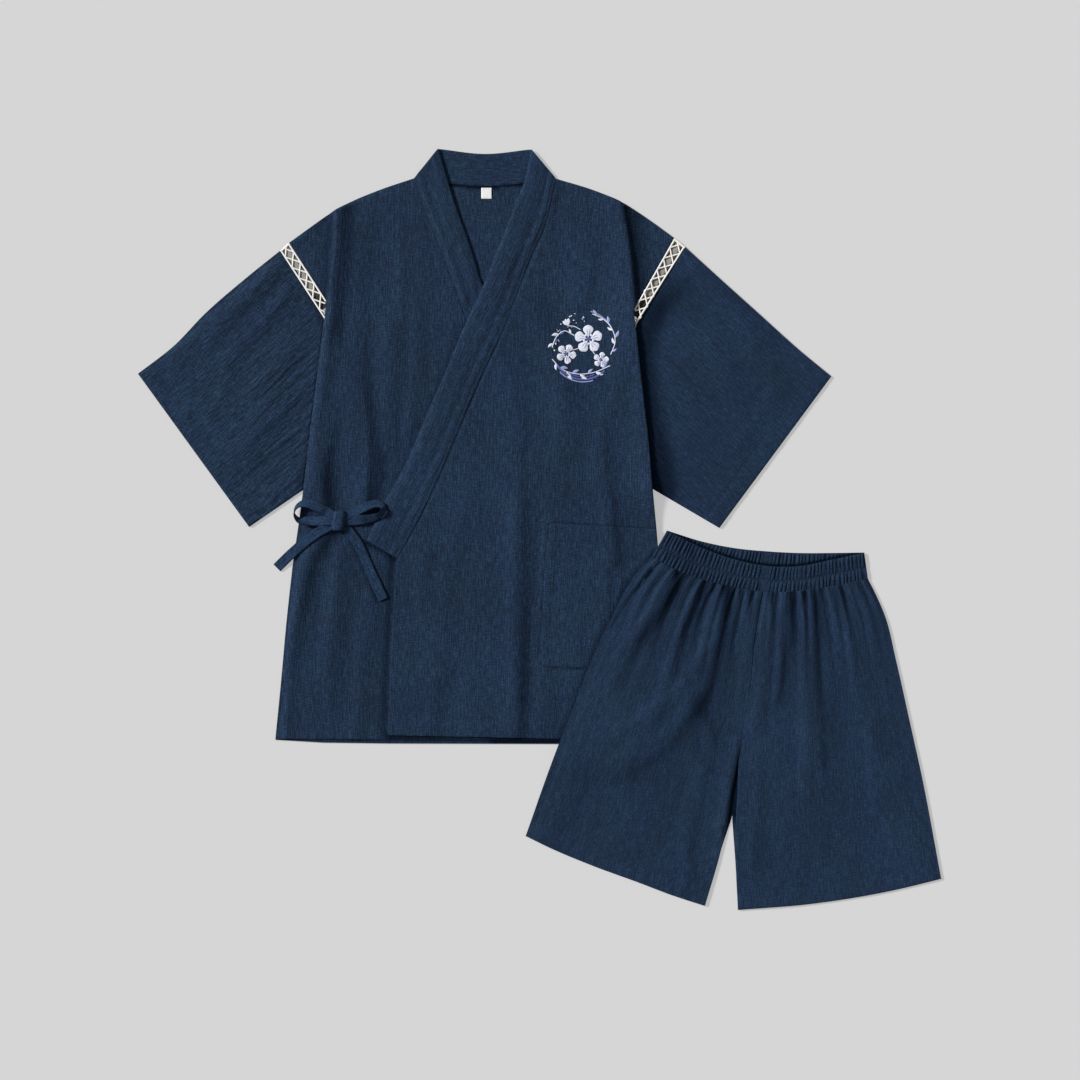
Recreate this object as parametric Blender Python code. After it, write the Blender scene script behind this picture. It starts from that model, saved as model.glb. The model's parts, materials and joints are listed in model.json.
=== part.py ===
"""A two-piece summer suit (a jinbei) of crinkled navy cotton, laid out flat.

It is a short-sleeved jacket that crosses over in front and ties at the wearer's right side, and shorts with
an elastic waist that lie over the jacket's lower corner. Lengths in the tables are millimetres; the scene is in
metres, +Z up, and the suit rests on Z = 0."""

from collections import namedtuple
from math import cos, pi, radians, sin

import bmesh
import bpy
import numpy as np
from mathutils.geometry import tessellate_polygon

MM = 0.001

# Driving sizes
CLOTH = 1.4  # one layer of crinkled cotton
SEAM_GAP = 0.3  # between pieces that are sewn together or lie on each other
SLANT_SHIFT = 0.4  # sideways, it leaves the same gap along a slanting seam
BACK_COLLAR_CLOTH = 2.2  # the collar is a folded band
RIBBON_WIDTH, LOOP_WIDTH = 13.5, 11.5  # the tie is creased narrower in its loops
RIBBON_CLOTH = 1.3
LACE_REPEAT = 17.2
LACE_RAIL = 0.5  # the least width of lace left between a hole and the strip's edge
LABEL_WIDTH, LABEL_DROP, LABEL_CLOTH = 13.9, 14.7, 1.0
LABEL_LEFT = -5.3  # from the middle of the neck
RIB_HEIGHT = 1.1  # of the gathers in the elastic waistband
RIB_COUNT = 57
RIB_SWELL = (0.8, 0.45, 1.0)  # at the seam, the row of stitching and the top edge
ELASTIC_STITCH = 0.44  # share of the band's height at which the elastic is stitched down
PLAIN_PATCH = (5, 8)  # half width of the ungathered patch, and where the ribs reach their height
JACKET_AT = (-73.4, -287.1)  # the middle of the jacket's hem line
SHORTS_AT = (304.6, -16.4)  # the middle of the shorts' waist
SHORTS_TURN = radians(-7)

# Heights of the layers' lower faces above the surface
LEVEL_1 = CLOTH + SEAM_GAP
LEVEL_2 = LEVEL_1 + CLOTH + SEAM_GAP
POCKET_LIFT = CLOTH + SEAM_GAP


def table(columns, *rows):
    """Rows whose columns have names."""
    row_type = namedtuple("Row", columns)
    return [row_type(*row) for row in rows]


def remove_all_objects():
    for thing in list(bpy.data.objects):
        bpy.data.objects.remove(thing, do_unlink=True)


def finish(name, colour, roughness):
    """A cloth finish."""
    material = bpy.data.materials.new(name)
    material.use_nodes = True
    shader = material.node_tree.nodes["Principled BSDF"]
    shader.inputs["Base Color"].default_value = (*colour, 1)
    shader.inputs["Roughness"].default_value = roughness
    shader.inputs["Metallic"].default_value = 0
    material.diffuse_color = (*colour, 1)
    return material


remove_all_objects()
NAVY = finish("navy_cotton", (0.022, 0.045, 0.095), 0.9)
ECRU = finish("ecru_lace", (0.80, 0.77, 0.70), 0.85)
WHITE = finish("white_tape", (0.86, 0.86, 0.85), 0.8)


# ---------------------------------------------------------------- plans: where each piece's points lie


def smooth_curve(points, per_span=12):
    """A dense smooth curve through the points, with tangents from their neighbours."""
    points = np.array(points, float)
    if len(points) == 2:
        return points
    steps = np.linalg.norm(np.diff(points, axis=0), axis=1)
    slopes = np.diff(points, axis=0) / steps[:, None]
    before, after = steps[:-1, None], steps[1:, None]
    inner = (slopes[:-1] * after + slopes[1:] * before) / (before + after)
    tangents = np.vstack([slopes[:1], inner, slopes[-1:]])
    t = np.linspace(0, 1, per_span, endpoint=False)[:, None]
    spans = []
    for i, step in enumerate(steps):
        start, end = points[i], points[i + 1]
        spans.append(
            (2 * t**3 - 3 * t**2 + 1) * start
            + (t**3 - 2 * t**2 + t) * step * tangents[i]
            + (3 * t**2 - 2 * t**3) * end
            + (t**3 - t**2) * step * tangents[i + 1]
        )
    return np.vstack(spans + [points[-1:]])


def shares_along(curve, shares):
    """Points of a dense curve at shares of its length."""
    lengths = np.concatenate([[0], np.cumsum(np.linalg.norm(np.diff(curve, axis=0), axis=1))])
    wanted = np.array(shares) * lengths[-1]
    return np.stack([np.interp(wanted, lengths, curve[:, k]) for k in range(curve.shape[1])], axis=-1)


def edge(*runs):
    """One edge of a piece, as smooth runs between corners: each is (number of steps, point, ... point)."""
    found = []
    for steps, *points in runs:
        run = shares_along(smooth_curve(points), np.linspace(0, 1, steps + 1))
        found.append(run if not found else run[1:])
    return np.vstack(found)


def between(first, last, across, low=None, high=None, hold=3):
    """A grid of points ruled from the edge first to the edge last, at the shares across of each row. The
    curves low and high bend its end rows, and the bend dies away from them with the power hold."""
    first, last = np.array(first), np.array(last)
    across = np.broadcast_to(across, (len(first), np.shape(across)[-1]))[..., None]
    plan = first[:, None] * (1 - across) + last[:, None] * across
    v = np.linspace(0, 1, len(first))[:, None, None]
    for curve, row, weight in ((low, 0, (1 - v) ** hold), (high, -1, v**hold)):
        if curve is not None:
            bent = shares_along(smooth_curve(curve), across[row, :, 0])
            plan = plan + weight * (bent - plan[row])
    return plan


def placed(plan, at, turn=0.0):
    """Points of a garment's own frame, moved to where the garment lies."""
    x, y = plan[..., 0], plan[..., 1]
    return np.stack([at[0] + x * cos(turn) - y * sin(turn), at[1] + x * sin(turn) + y * cos(turn)], axis=-1)


# ---------------------------------------------------------------- heights


def ease(value, start, end):
    """0 before start, 1 after end, and smooth between them."""
    t = np.clip((np.asarray(value, float) - start) / (end - start), 0, 1)
    return t * t * (3 - 2 * t)


def reach(plan, path):
    """The distance from each point of a plan to a path of straight runs."""
    found = np.full(plan.shape[:-1], np.inf)
    for start, end in zip(np.array(path[:-1], float), np.array(path[1:], float)):
        run = end - start
        t = np.clip(((plan - start) @ run) / (run @ run), 0, 1)
        found = np.minimum(found, np.linalg.norm(plan - (start + t[..., None] * run), axis=-1))
    return found


def ridges(plan, folds):
    """The height of soft ridges, one for each fold: its height, its half width and the path of its crest."""
    height = np.zeros(plan.shape[:-1])
    for fold in folds:
        height += fold.height * np.exp(-((reach(plan, fold.path) / fold.width) ** 2))
    return height


# ---------------------------------------------------------------- solids


def solid(name, corners, faces, material):
    """One closed body from points in millimetres."""
    mesh = bpy.data.meshes.new(name)
    mesh.from_pydata((np.array(corners) * MM).tolist(), [], faces)
    shape = bmesh.new()
    shape.from_mesh(mesh)
    bmesh.ops.recalc_face_normals(shape, faces=shape.faces)
    shape.to_mesh(mesh)
    shape.free()
    mesh.materials.append(material)
    thing = bpy.data.objects.new(name, mesh)
    bpy.context.scene.collection.objects.link(thing)
    return thing


def wall(name, plan, under, over):
    """A wall of cloth over a grid of points, from its lower to its upper face."""
    rows, columns = plan.shape[:2]
    under, over = np.broadcast_to(under, (rows, columns)), np.broadcast_to(over, (rows, columns))
    lower = np.dstack([plan, under]).reshape(-1, 3)
    upper = np.dstack([plan, over]).reshape(-1, 3)
    count = rows * columns
    flat = []
    for i in range(rows - 1):
        for j in range(columns - 1):
            a, b = i * columns + j, i * columns + j + 1
            c, d = a + columns, b + columns
            flat += [(a, b, d), (a, d, c)]
    rim = [i * columns for i in range(rows)]
    rim += [(rows - 1) * columns + j for j in range(1, columns)]
    rim += [i * columns + columns - 1 for i in range(rows - 2, -1, -1)]
    rim += list(range(columns - 2, 0, -1))
    faces = flat + [tuple(v + count for v in face) for face in flat]
    faces += [(a, b, b + count, a + count) for a, b in zip(rim, rim[1:] + rim[:1])]
    return solid(name, np.vstack([lower, upper]), faces, NAVY)


def plate(name, outline, under, over, material, holes=()):
    """A flat plate inside an outline, with holes cut through it."""
    loops = [np.array(loop, float) for loop in (outline, *holes)]
    flat = np.vstack(loops)
    count = len(flat)
    corners = np.vstack([np.column_stack([flat, np.full(count, height)]) for height in (under, over)])
    caps = tessellate_polygon([[(x, y, 0) for x, y in loop] for loop in loops])
    faces = []
    for a, b, c in caps:
        faces += [(c, b, a), (a + count, b + count, c + count)]
    start = 0
    for k, loop in enumerate(loops):
        size = len(loop)
        ahead = np.roll(loop, -1, axis=0)
        area = np.sum(loop[:, 0] * ahead[:, 1] - ahead[:, 0] * loop[:, 1])
        order = 1 if (area > 0) == (k == 0) else -1
        ring = [start + m for m in range(size)][::order]
        for a, b in zip(ring, ring[1:] + ring[:1]):
            faces.append((a, b, b + count, a + count))
        start += size
    return solid(name, corners, faces, material)


def ribbon(name, stations, width):
    """A strip of folded cloth along its stations: x, y, z of its middle, and its width's tilt from level."""
    dense = smooth_curve([(s.x, s.y, s.z, s.tilt) for s in stations], 3)
    middle, tilts = dense[:, :3], np.radians(dense[:, 3])
    along = np.gradient(middle, axis=0)
    along /= np.linalg.norm(along, axis=1)[:, None]
    side = np.column_stack([-along[:, 1], along[:, 0], np.zeros(len(along))])
    side /= np.linalg.norm(side, axis=1)[:, None]
    across = side * np.cos(tilts)[:, None] + np.array([0, 0, 1.0]) * np.sin(tilts)[:, None]
    out = np.cross(along, across)
    out /= np.linalg.norm(out, axis=1)[:, None]
    half, thick = width / 2, RIBBON_CLOTH / 2
    rings = [
        middle + a * half * across + b * thick * out for a, b in ((-1, -1), (1, -1), (1, 1), (-1, 1))
    ]
    corners = np.stack(rings, axis=1).reshape(-1, 3)
    faces = []
    for i in range(len(middle) - 1):
        for k in range(4):
            a, b = 4 * i + k, 4 * i + (k + 1) % 4
            faces += [(a, b, b + 4), (a, b + 4, a + 4)]
    last = 4 * (len(middle) - 1)
    faces += [(3, 2, 1, 0), (last, last + 1, last + 2, last + 3)]
    return solid(name, corners, faces, NAVY)


# ---------------------------------------------------------------- the jacket's outlines, in its own frame
# x from the middle of the neck, y up from the hem. Left and right are as seen from above.

LEFT_LACE_TOP_IN, LEFT_LACE_LOW_IN = (-264.6, 673.7), (-214.2, 595.8)
LEFT_LACE_TOP_OUT, LEFT_LACE_LOW_OUT = (-276.8, 662.9), (-217.1, 571.3)
RIGHT_LACE_TOP_IN, RIGHT_LACE_LOW_IN = (255.2, 680.0), (200.2, 583.3)
RIGHT_LACE_TOP_OUT, RIGHT_LACE_LOW_OUT = (269.9, 668.1), (202.6, 561.6)
# The strip in the lower layer leans a little nearer to the neck at the shoulder.
LEFT_BACK_LACE_TOP_IN, LEFT_BACK_LACE_TOP_OUT = (-254.1, 681.3), (-266.8, 671.4)
RIGHT_BACK_LACE_TOP_IN, RIGHT_BACK_LACE_TOP_OUT = (244.7, 687.7), (259.6, 676.0)
LEFT_UNDERARM, RIGHT_UNDERARM = (-247.7, 340.2), (225.5, 341.6)
LEFT_SHOULDER = (
    (-95.9, 760.7), (-141.8, 745.2), (-185.6, 726.6), (-209.3, 713.1), (-238.0, 693.0), LEFT_LACE_TOP_IN,
)
RIGHT_SHOULDER = (
    (95.9, 760.0), (147.6, 744.0), (187.7, 726.3), (205.2, 715.5), (231.4, 697.5), RIGHT_LACE_TOP_IN,
)
BACK_NECK = ((-95.9, 760.7), (-48.9, 752.6), (0.0, 749.3), (47.3, 752.6), (95.9, 760.0))

# The front that lies on top: from its crossing edge (collar seam, then centre edge) to the body's side edge.
# The column pocket is the share of the row at which the line of the pocket's left edge crosses it.
OVER_FRONT = table(
    "steps edge_x edge_y side_x side_y pocket",
    (2, -132.0, 9.5, 260.6, 1.4, 0.525),
    (2, -129.5, 62.0, 255.6, 48.0, 0.526),
    (2, -127.0, 112.5, 250.6, 94.9, 0.528),
    (2, -123.8, 180.0, 243.2, 165.0, 0.545),
    (2, -118.8, 248.1, 235.2, 234.0, 0.562),
    (2, -87.5, 305.5, 230.9, 287.6, 0.545),
    (2, -55.4, 374.0, 225.5, 345.0, 0.535),
    (2, -31.9, 430.7, 219.6, 413.0, 0.520),
    (2, -8.6, 486.0, 213.8, 465.0, 0.505),
    (1, 11.6, 529.2, 208.2, 515.0, 0.500),
    (1, 28.4, 567.0, *RIGHT_LACE_LOW_OUT, 0.497),
    (2, 43.2, 604.8, *RIGHT_LACE_LOW_IN, 0.489),
    (2, 60.8, 650.7, 221.0, 619.9, 0.460),
    (2, 81.0, 696.6, 240.0, 653.3, 0.430),
    (0, 95.9, 760.0, *RIGHT_LACE_TOP_IN, 0.400),
)
POCKET_ROWS = (4, 10)  # grid rows along the pocket's lower and upper edge
POCKET_CORNER = 0.25  # how far its lower corner is rounded into its first cell
COLLAR_END_ROW = 8  # grid row at the lower end of the collar
OVER_LEFT_OF_POCKET = (0, 0.22, 0.44, 0.64, 0.79, 0.89, 1)
OVER_RIGHT_OF_POCKET = (0.07, 0.22, 0.40, 0.58, 0.76, 0.92, 1)

# The front that lies beneath: from the body's side edge to its crossing edge.
UNDER_FRONT = table(
    "steps side_x side_y edge_x edge_y",
    (2, -283.1, 4.6, 131.0, 1.0),
    (2, -276.2, 74.0, 128.5, 70.0),
    (2, -268.1, 162.5, 125.0, 150.0),
    (2, -259.9, 238.0, 118.8, 248.1),
    (2, -250.0, 307.0, 87.5, 305.5),
    (2, -243.2, 360.0, 55.4, 374.0),
    (2, -235.6, 425.0, 31.9, 430.7),
    (2, -228.5, 482.0, 8.6, 486.0),
    (1, -222.2, 532.0, -11.6, 529.2),
    (1, *LEFT_LACE_LOW_OUT, -28.4, 575.0),
    (2, *LEFT_LACE_LOW_IN, -45.9, 625.0),
    (2, -231.0, 621.8, -66.2, 680.0),
    (2, -248.0, 648.0, -83.7, 723.6),
    (0, *LEFT_LACE_TOP_IN, -95.9, 760.7),
)
UNDER_COLLAR_END_ROW = 6
COLLAR_ACROSS, COLLAR_THINS = (0, 0.3, 0.8, 1), (0, 0, 0, 0.5)  # it thins into its seam
UNDER_ACROSS = (0, 0.04, 0.10, 0.17, 0.25, 0.34, 0.45, 0.60, 0.78, 1)

# The free edge of the collar that lies on top, from its lower end to the top of the neck
OVER_COLLAR_FREE = (
    (-159.6, 272.8), (-133.0, 329.4), (-110.7, 368.6), (-79.8, 440.1), (-48.7, 511.2), (-27.0, 564.3),
    (-2.8, 615.6), (13.2, 656.9), (31.9, 703.4), (37.7, 720.0), (50.4, 749.8), (62.1, 799.9),
)
UNDER_COLLAR_FREE = (
    (159.6, 272.8), (133.0, 329.4), (110.7, 368.6), (79.8, 440.1), (48.7, 511.2), (27.0, 564.3),
    (-3.4, 615.6), (-17.8, 660.2), (-33.3, 703.4), (-49.4, 752.6), (-63.5, 800.6),
)
COLLAR_BACK_TOP = ((-95.9, 760.7), (-63.5, 800.6), (0.0, 793.8), (62.1, 800.0), (95.9, 760.0))

Fold = namedtuple("Fold", "height width path")
OVER_FOLDS = (
    Fold(2.0, 15, ((188, 722), (193.9, 674), (199.5, 583), (208.2, 515), (214, 465), (225.5, 345))),
    Fold(0.9, 12, ((225.5, 345), (231, 287), (236, 234))),
    Fold(1.8, 11, ((42, 320), (40, 200), (41, 60))),
    Fold(1.3, 10, ((86, 270), (77, 180), (73, 60), (73, 20))),
    Fold(1.6, 15, ((60, 600), (96, 500), (110, 400))),
    Fold(1.4, 16, ((190, 540), (165, 430), (150, 360))),
    Fold(1.2, 14, ((-20, 350), (-55, 200), (-60, 90))),
)
UNDER_FOLDS = (
    Fold(2.0, 15, (
        (-207, 706), (-202.5, 671), (-213, 596), (-217.6, 556), (-226, 502), (-239.6, 391), (-247.7, 340),
    )),
    Fold(0.9, 13, ((-247.7, 340), (-259.9, 238), (-276, 74), (-282, 10))),
    Fold(2.2, 15, ((-168, 700), (-176, 560), (-182, 460), (-186, 380))),
    Fold(2.0, 14, ((-128, 560), (-132, 440), (-150, 350))),
    Fold(1.5, 13, ((-206, 232), (-212, 150), (-220, 90))),
    Fold(1.2, 12, ((-160, 190), (-166, 110), (-168, 30))),
)

# How far the layers beneath reach to the right, under the front that lies on top
UNDER_REACH = table(
    "y x", (-20, 134), (240, 128), (262, 161), (273, 163), (329, 137), (369, 115), (440, 84), (511, 53),
    (564, 32), (616, 2), (640, -30), (700, -140), (800, -320),
)
# The lower face and the thickness of each collar, a folded band, along its length: it passes over the back
# collar, and the one on top over the other front. The part that the front on top covers is pressed thinner.
OVER_COLLAR_REST = table(
    "y z thick", (248, 3.5, 2.4), (480, 3.7, 2.4), (545, 4.7, 2.4), (640, 4.7, 2.4), (672, 3.4, 2.4),
    (715, 2.0, 2.4), (748, 2.5, 2.4), (801, 2.5, 2.4),
)
UNDER_COLLAR_REST = table(
    "y z thick", (248, 1.7, 1.4), (572, 1.77, 1.4), (612, 1.78, 2.4), (715, 1.8, 2.4), (748, 2.5, 2.4),
    (801, 2.5, 2.4),
)


def column(rows, name):
    return np.array([getattr(row, name) for row in rows])


def along_rows(rows, *names):
    """Columns of a section table, with each row's steps filled in evenly."""
    filled = [
        [getattr(row, name) + (getattr(after, name) - getattr(row, name)) * k / row.steps for name in names]
        for row, after in zip(rows, rows[1:])
        for k in range(row.steps)
    ]
    return np.array(filled + [[getattr(rows[-1], name) for name in names]])


def read(rows, at, key, value):
    return np.interp(at, column(rows, key), column(rows, value))


OVER_EDGE = along_rows(OVER_FRONT, "edge_x", "edge_y")
OVER_SIDE = along_rows(OVER_FRONT, "side_x", "side_y")
UNDER_EDGE = along_rows(UNDER_FRONT, "edge_x", "edge_y")
UNDER_SIDE = along_rows(UNDER_FRONT, "side_x", "side_y")


def apart(points, x_shift):
    """A seam line moved sideways, clear of the piece that it is sewn to."""
    return np.array(points) + (x_shift, 0)


def over_front_rest(plan):
    """The front on top lies on the other front and its collar as far as they reach, then on the back."""
    past = plan[..., 0] - read(UNDER_REACH, plan[..., 1], "y", "x")
    return LEVEL_2 + (LEVEL_1 - LEVEL_2) * ease(past, 26, 76)


def over_front_grid():
    pocket = along_rows(OVER_FRONT, "pocket")
    left = np.array(OVER_LEFT_OF_POCKET)
    right = np.array(OVER_RIGHT_OF_POCKET)
    across = np.hstack([pocket * left, pocket + (1 - pocket) * right])
    first = apart(OVER_EDGE, SLANT_SHIFT)
    plan = between(first, OVER_SIDE, across, high=[first[-1], *RIGHT_SHOULDER[1:]])
    return plan, over_front_rest(plan) + ridges(plan, OVER_FOLDS)


def build_body():
    right_side = OVER_SIDE[OVER_SIDE[:, 1] <= RIGHT_LACE_LOW_OUT[1]]
    left_side = UNDER_SIDE[UNDER_SIDE[:, 1] <= LEFT_LACE_LOW_OUT[1]]
    back_outline = np.vstack([
        right_side, [RIGHT_LACE_LOW_IN, RIGHT_BACK_LACE_TOP_IN], RIGHT_SHOULDER[-2:0:-1],
        np.array(BACK_NECK[::-1]) - (0, SEAM_GAP),
        LEFT_SHOULDER[1:-1], [LEFT_BACK_LACE_TOP_IN, LEFT_LACE_LOW_IN], left_side[::-1][:-1],
        [(-283.1, 3.0), (-218.7, -0.5), (-132.3, -0.9), (95.9, -1.4), (259.9, 0.0)],
    ])
    plate("back_panel", placed(back_outline, JACKET_AT), 0, CLOTH, NAVY)

    last = apart(UNDER_EDGE, -SLANT_SHIFT)
    plan = between(UNDER_SIDE, last, UNDER_ACROSS, high=[*LEFT_SHOULDER[::-1][:-1], last[-1]])
    rest = LEVEL_1 + ridges(plan, UNDER_FOLDS)
    wall("front_right_under", placed(plan, JACKET_AT), rest, rest + CLOTH)

    plan, rest = over_front_grid()
    wall("front_left_over", placed(plan, JACKET_AT), rest, rest + CLOTH)

    low, high = POCKET_ROWS
    start = len(OVER_LEFT_OF_POCKET) - 1
    patch, lift = plan[low : high + 1, start:].copy(), rest[low : high + 1, start:] + POCKET_LIFT
    patch[0, 0] += POCKET_CORNER * (patch[1, 1] - patch[0, 0])
    lift[0, 0] += POCKET_CORNER * (lift[1, 1] - lift[0, 0])
    wall("pocket", placed(patch, JACKET_AT), lift, lift + CLOTH)


def build_collar():
    top = np.array(COLLAR_BACK_TOP)
    outline = np.vstack([np.array(BACK_NECK), top[::-1][1:-1]])
    plate("collar_back", placed(outline, JACKET_AT), 0, BACK_COLLAR_CLOTH, NAVY)

    over_seam, under_seam = OVER_EDGE[COLLAR_END_ROW:], UNDER_EDGE[UNDER_COLLAR_END_ROW:]
    for name, free, seam, rests in (
        ("collar_left_over", OVER_COLLAR_FREE, over_seam, OVER_COLLAR_REST),
        ("collar_right_under", UNDER_COLLAR_FREE, under_seam, UNDER_COLLAR_REST),
    ):
        free_edge = shares_along(smooth_curve(free), np.linspace(0, 1, len(seam)))
        plan = between(free_edge, seam, COLLAR_ACROSS)
        low = read(rests, plan[..., 1], "y", "z")
        thick = read(rests, plan[..., 1], "y", "thick")
        wall(name, placed(plan, JACKET_AT), low, low + thick - np.array(COLLAR_THINS))


# ---------------------------------------------------------------- the sleeves, and the lace at the shoulders

Sleeve = namedtuple("Sleeve", "side lace back_top body_side underarm cuff_low cuff_top top")
SLEEVES = (
    Sleeve(
        "left", (LEFT_LACE_TOP_OUT, LEFT_LACE_LOW_OUT), LEFT_BACK_LACE_TOP_OUT,
        ((-226.1, 502), (-232.9, 448), (-239.6, 391)), LEFT_UNDERARM,
        (-318.6, 290.3), (-468.5, 497.0), ((-420.1, 534.6), (-378.0, 578.1), (-317.3, 630.5)),
    ),
    Sleeve(
        "right", (RIGHT_LACE_TOP_OUT, RIGHT_LACE_LOW_OUT), RIGHT_BACK_LACE_TOP_OUT,
        ((208.2, 515), (213.8, 465), (219.6, 413)), RIGHT_UNDERARM,
        (315.9, 288.9), (467.1, 493.5), ((426.1, 527.2), (369.2, 578.3), (312.4, 629.4)),
    ),
)
SLEEVE_FOLDS = {
    "left": (
        Fold(1.6, 10, ((-290, 628), (-340, 578), (-372, 540))),
        Fold(1.5, 9, ((-262, 600), (-315, 552), (-352, 506))),
        Fold(1.3, 9, ((-246, 545), (-290, 500), (-318, 470))),
        Fold(1.2, 9, ((-247, 470), (-280, 435))),
        Fold(1.0, 11, ((-400, 470), (-350, 400))),
    ),
    "right": (
        Fold(1.5, 11, ((282, 640), (330, 590), (366, 545))),
        Fold(1.3, 10, ((250, 596), (300, 545), (330, 510))),
        Fold(1.2, 10, ((232, 520), (280, 470))),
        Fold(1.0, 11, ((395, 480), (340, 400))),
    ),
}
LACE_FOOT_ROW = 7  # grid row at the lower end of the lace
FLAT_BY_SEAM = 12.0  # the sleeve's folds die away this near to its seam
SLEEVE_ACROSS = (0, 0.06, 0.14, 0.24, 0.36, 0.49, 0.62, 0.75, 0.88, 1)


def build_sleeve(sleeve):
    out = -1 if sleeve.side == "left" else 1
    below_lace = (LACE_FOOT_ROW, sleeve.underarm, *sleeve.body_side[::-1], sleeve.lace[1])
    body_edge = apart(edge(below_lace, (5, *sleeve.lace[::-1])), SLANT_SHIFT * out)
    cuff = edge((len(body_edge) - 1, sleeve.cuff_low, sleeve.cuff_top))
    crown = (body_edge[-1], *sleeve.top[::-1], sleeve.cuff_top)
    plan = between(body_edge, cuff, SLEEVE_ACROSS, high=crown)
    from_body = reach(plan, [body_edge[0], body_edge[LACE_FOOT_ROW], body_edge[-1]])
    lift = ridges(plan, SLEEVE_FOLDS[sleeve.side]) * ease(from_body, 0, FLAT_BY_SEAM)
    rest = LEVEL_1 + lift
    wall(f"sleeve_{sleeve.side}_front", placed(plan, JACKET_AT), rest, rest + CLOTH)
    back_top = apart(sleeve.back_top, SLANT_SHIFT * out)
    rim = np.vstack([plan[0], plan[1:, -1], plan[-1, ::-1][1:], [back_top], plan[LACE_FOOT_ROW:0:-1, 0]])
    plate(f"sleeve_{sleeve.side}_back", placed(rim, JACKET_AT), 0, CLOTH, NAVY)


def lace_holes(length, half_widths):
    """The holes of a strip of ladder lace, as (distance along, distance from the middle): a row of diamonds,
    with a triangle on each side between two where the strip is wide enough. half_widths are its ends' own."""
    half_long, half_wide = 6.0, 3.9
    side_base, side_half, side_tip = 6.2, 3.3, 1.6
    count = int((length - 4) // LACE_REPEAT)
    start = (length - count * LACE_REPEAT) / 2
    holes = []
    for k in range(count):
        middle = start + (k + 0.5) * LACE_REPEAT
        left, right = middle - half_long, middle + half_long
        holes.append(((left, 0), (middle, -half_wide), (right, 0), (middle, half_wide)))
    for k in range(1, count):
        middle = start + k * LACE_REPEAT
        if np.interp(middle, (0, length), half_widths) < side_base + LACE_RAIL:
            continue
        left, right = middle - side_half, middle + side_half
        for side in (-1, 1):
            holes.append(((left, side * side_base), (right, side * side_base), (middle, side * side_tip)))
    return holes


def build_lace(side, layer, top_in, low_in, top_out, low_out):
    top_in, low_in, top_out, low_out = (np.array(p) for p in (top_in, low_in, top_out, low_out))
    start, end = (top_in + top_out) / 2, (low_in + low_out) / 2
    length = np.linalg.norm(end - start)
    along = (end - start) / length
    wide = np.array([-along[1], along[0]])
    half_widths = [abs((top_out - top_in) @ wide) / 2, abs((low_out - low_in) @ wide) / 2]
    cut = [
        placed(np.array([start + along * s + wide * w for s, w in hole]), JACKET_AT)
        for hole in lace_holes(length, half_widths)
    ]
    out = -1 if side == "left" else 1
    corners = np.vstack([apart([top_in, low_in], SLANT_SHIFT * out), [low_out, top_out]])
    rest = LEVEL_1 if layer == "front" else 0
    plate(f"lace_{side}_{layer}", placed(corners, JACKET_AT), rest, rest + CLOTH, ECRU, cut)


# ---------------------------------------------------------------- the tie and the label

TIE_RUNS = {
    "bow_loop_left": table(
        "x y z tilt",
        (-206.0, 305.5, 8.8, 30), (-226.9, 313.5, 9.2, 30), (-244.9, 319.5, 10.6, 50),
        (-253.0, 316.5, 11.2, 75), (-256.3, 306.5, 11.2, 90), (-251.0, 298.0, 11.0, 110),
        (-236.0, 296.5, 10.0, 145), (-221.0, 297.5, 9.4, 155), (-206.4, 298.5, 9.0, 155),
    ),
    "bow_loop_right": table(
        "x y z tilt",
        (-187.8, 305.5, 9.0, -30), (-171.2, 314.5, 10.0, -35), (-156.0, 321.5, 11.4, -45),
        (-143.0, 322.0, 12.6, -60), (-137.2, 314.5, 13.0, -85), (-141.5, 306.0, 12.6, -105),
        (-155.0, 300.8, 11.2, -130), (-171.2, 298.0, 9.6, -145), (-188.2, 298.0, 9.0, -145),
    ),
    "bow_tail_left": table(
        "x y z tilt",
        (-206.8, 292.5, 5.4, 0), (-220.0, 286.0, 4.7, 0), (-236.0, 275.5, 4.6, 0), (-252.0, 262.5, 5.2, 0),
        (-263.0, 252.5, 4.9, 0), (-272.0, 244.0, 2.7, 0), (-281.0, 235.2, 1.3, 0),
    ),
    "bow_tail_right": table(
        "x y z tilt",
        (-190.6, 291.0, 5.0, 0), (-181.6, 282.0, 4.6, 0), (-172.8, 269.5, 4.4, 0), (-163.0, 249.2, 4.2, 0),
        (-151.5, 222.9, 4.2, 0), (-137.6, 192.6, 4.2, 0),
    ),
}
KNOT_AT = (-197.4, 298.3)
KNOT_HALF = (8.2, 11.5, 5.2)
KNOT_REST, KNOT_LEAN = 3.4, 1.5


def build_knot():
    """A soft knot: a rounded block, fuller in its middle than at its ends."""
    rings, around = 7, 12
    corners = []
    for i in range(rings):
        t = -1 + 2 * i / (rings - 1)
        swell = (1 - 0.55 * t**4) ** 0.5
        for k in range(around):
            angle = 2 * pi * k / around
            x = KNOT_HALF[0] * swell * np.sign(cos(angle)) * abs(cos(angle)) ** 0.6
            z = KNOT_HALF[2] * swell * np.sign(sin(angle)) * abs(sin(angle)) ** 0.8
            y = KNOT_HALF[1] * t
            corners.append((KNOT_AT[0] + x + KNOT_LEAN * t, KNOT_AT[1] + y, KNOT_REST + KNOT_HALF[2] + z))
    faces = []
    for i in range(rings - 1):
        for k in range(around):
            a, b = i * around + k, i * around + (k + 1) % around
            faces.append((a, a + around, b + around, b))
    faces.append(tuple(range(around)))
    faces.append(tuple(range((rings - 1) * around, rings * around))[::-1])
    corners = np.array(corners)
    corners[:, :2] = placed(corners[:, :2], JACKET_AT)
    solid("bow_knot", corners, faces, NAVY)


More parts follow.
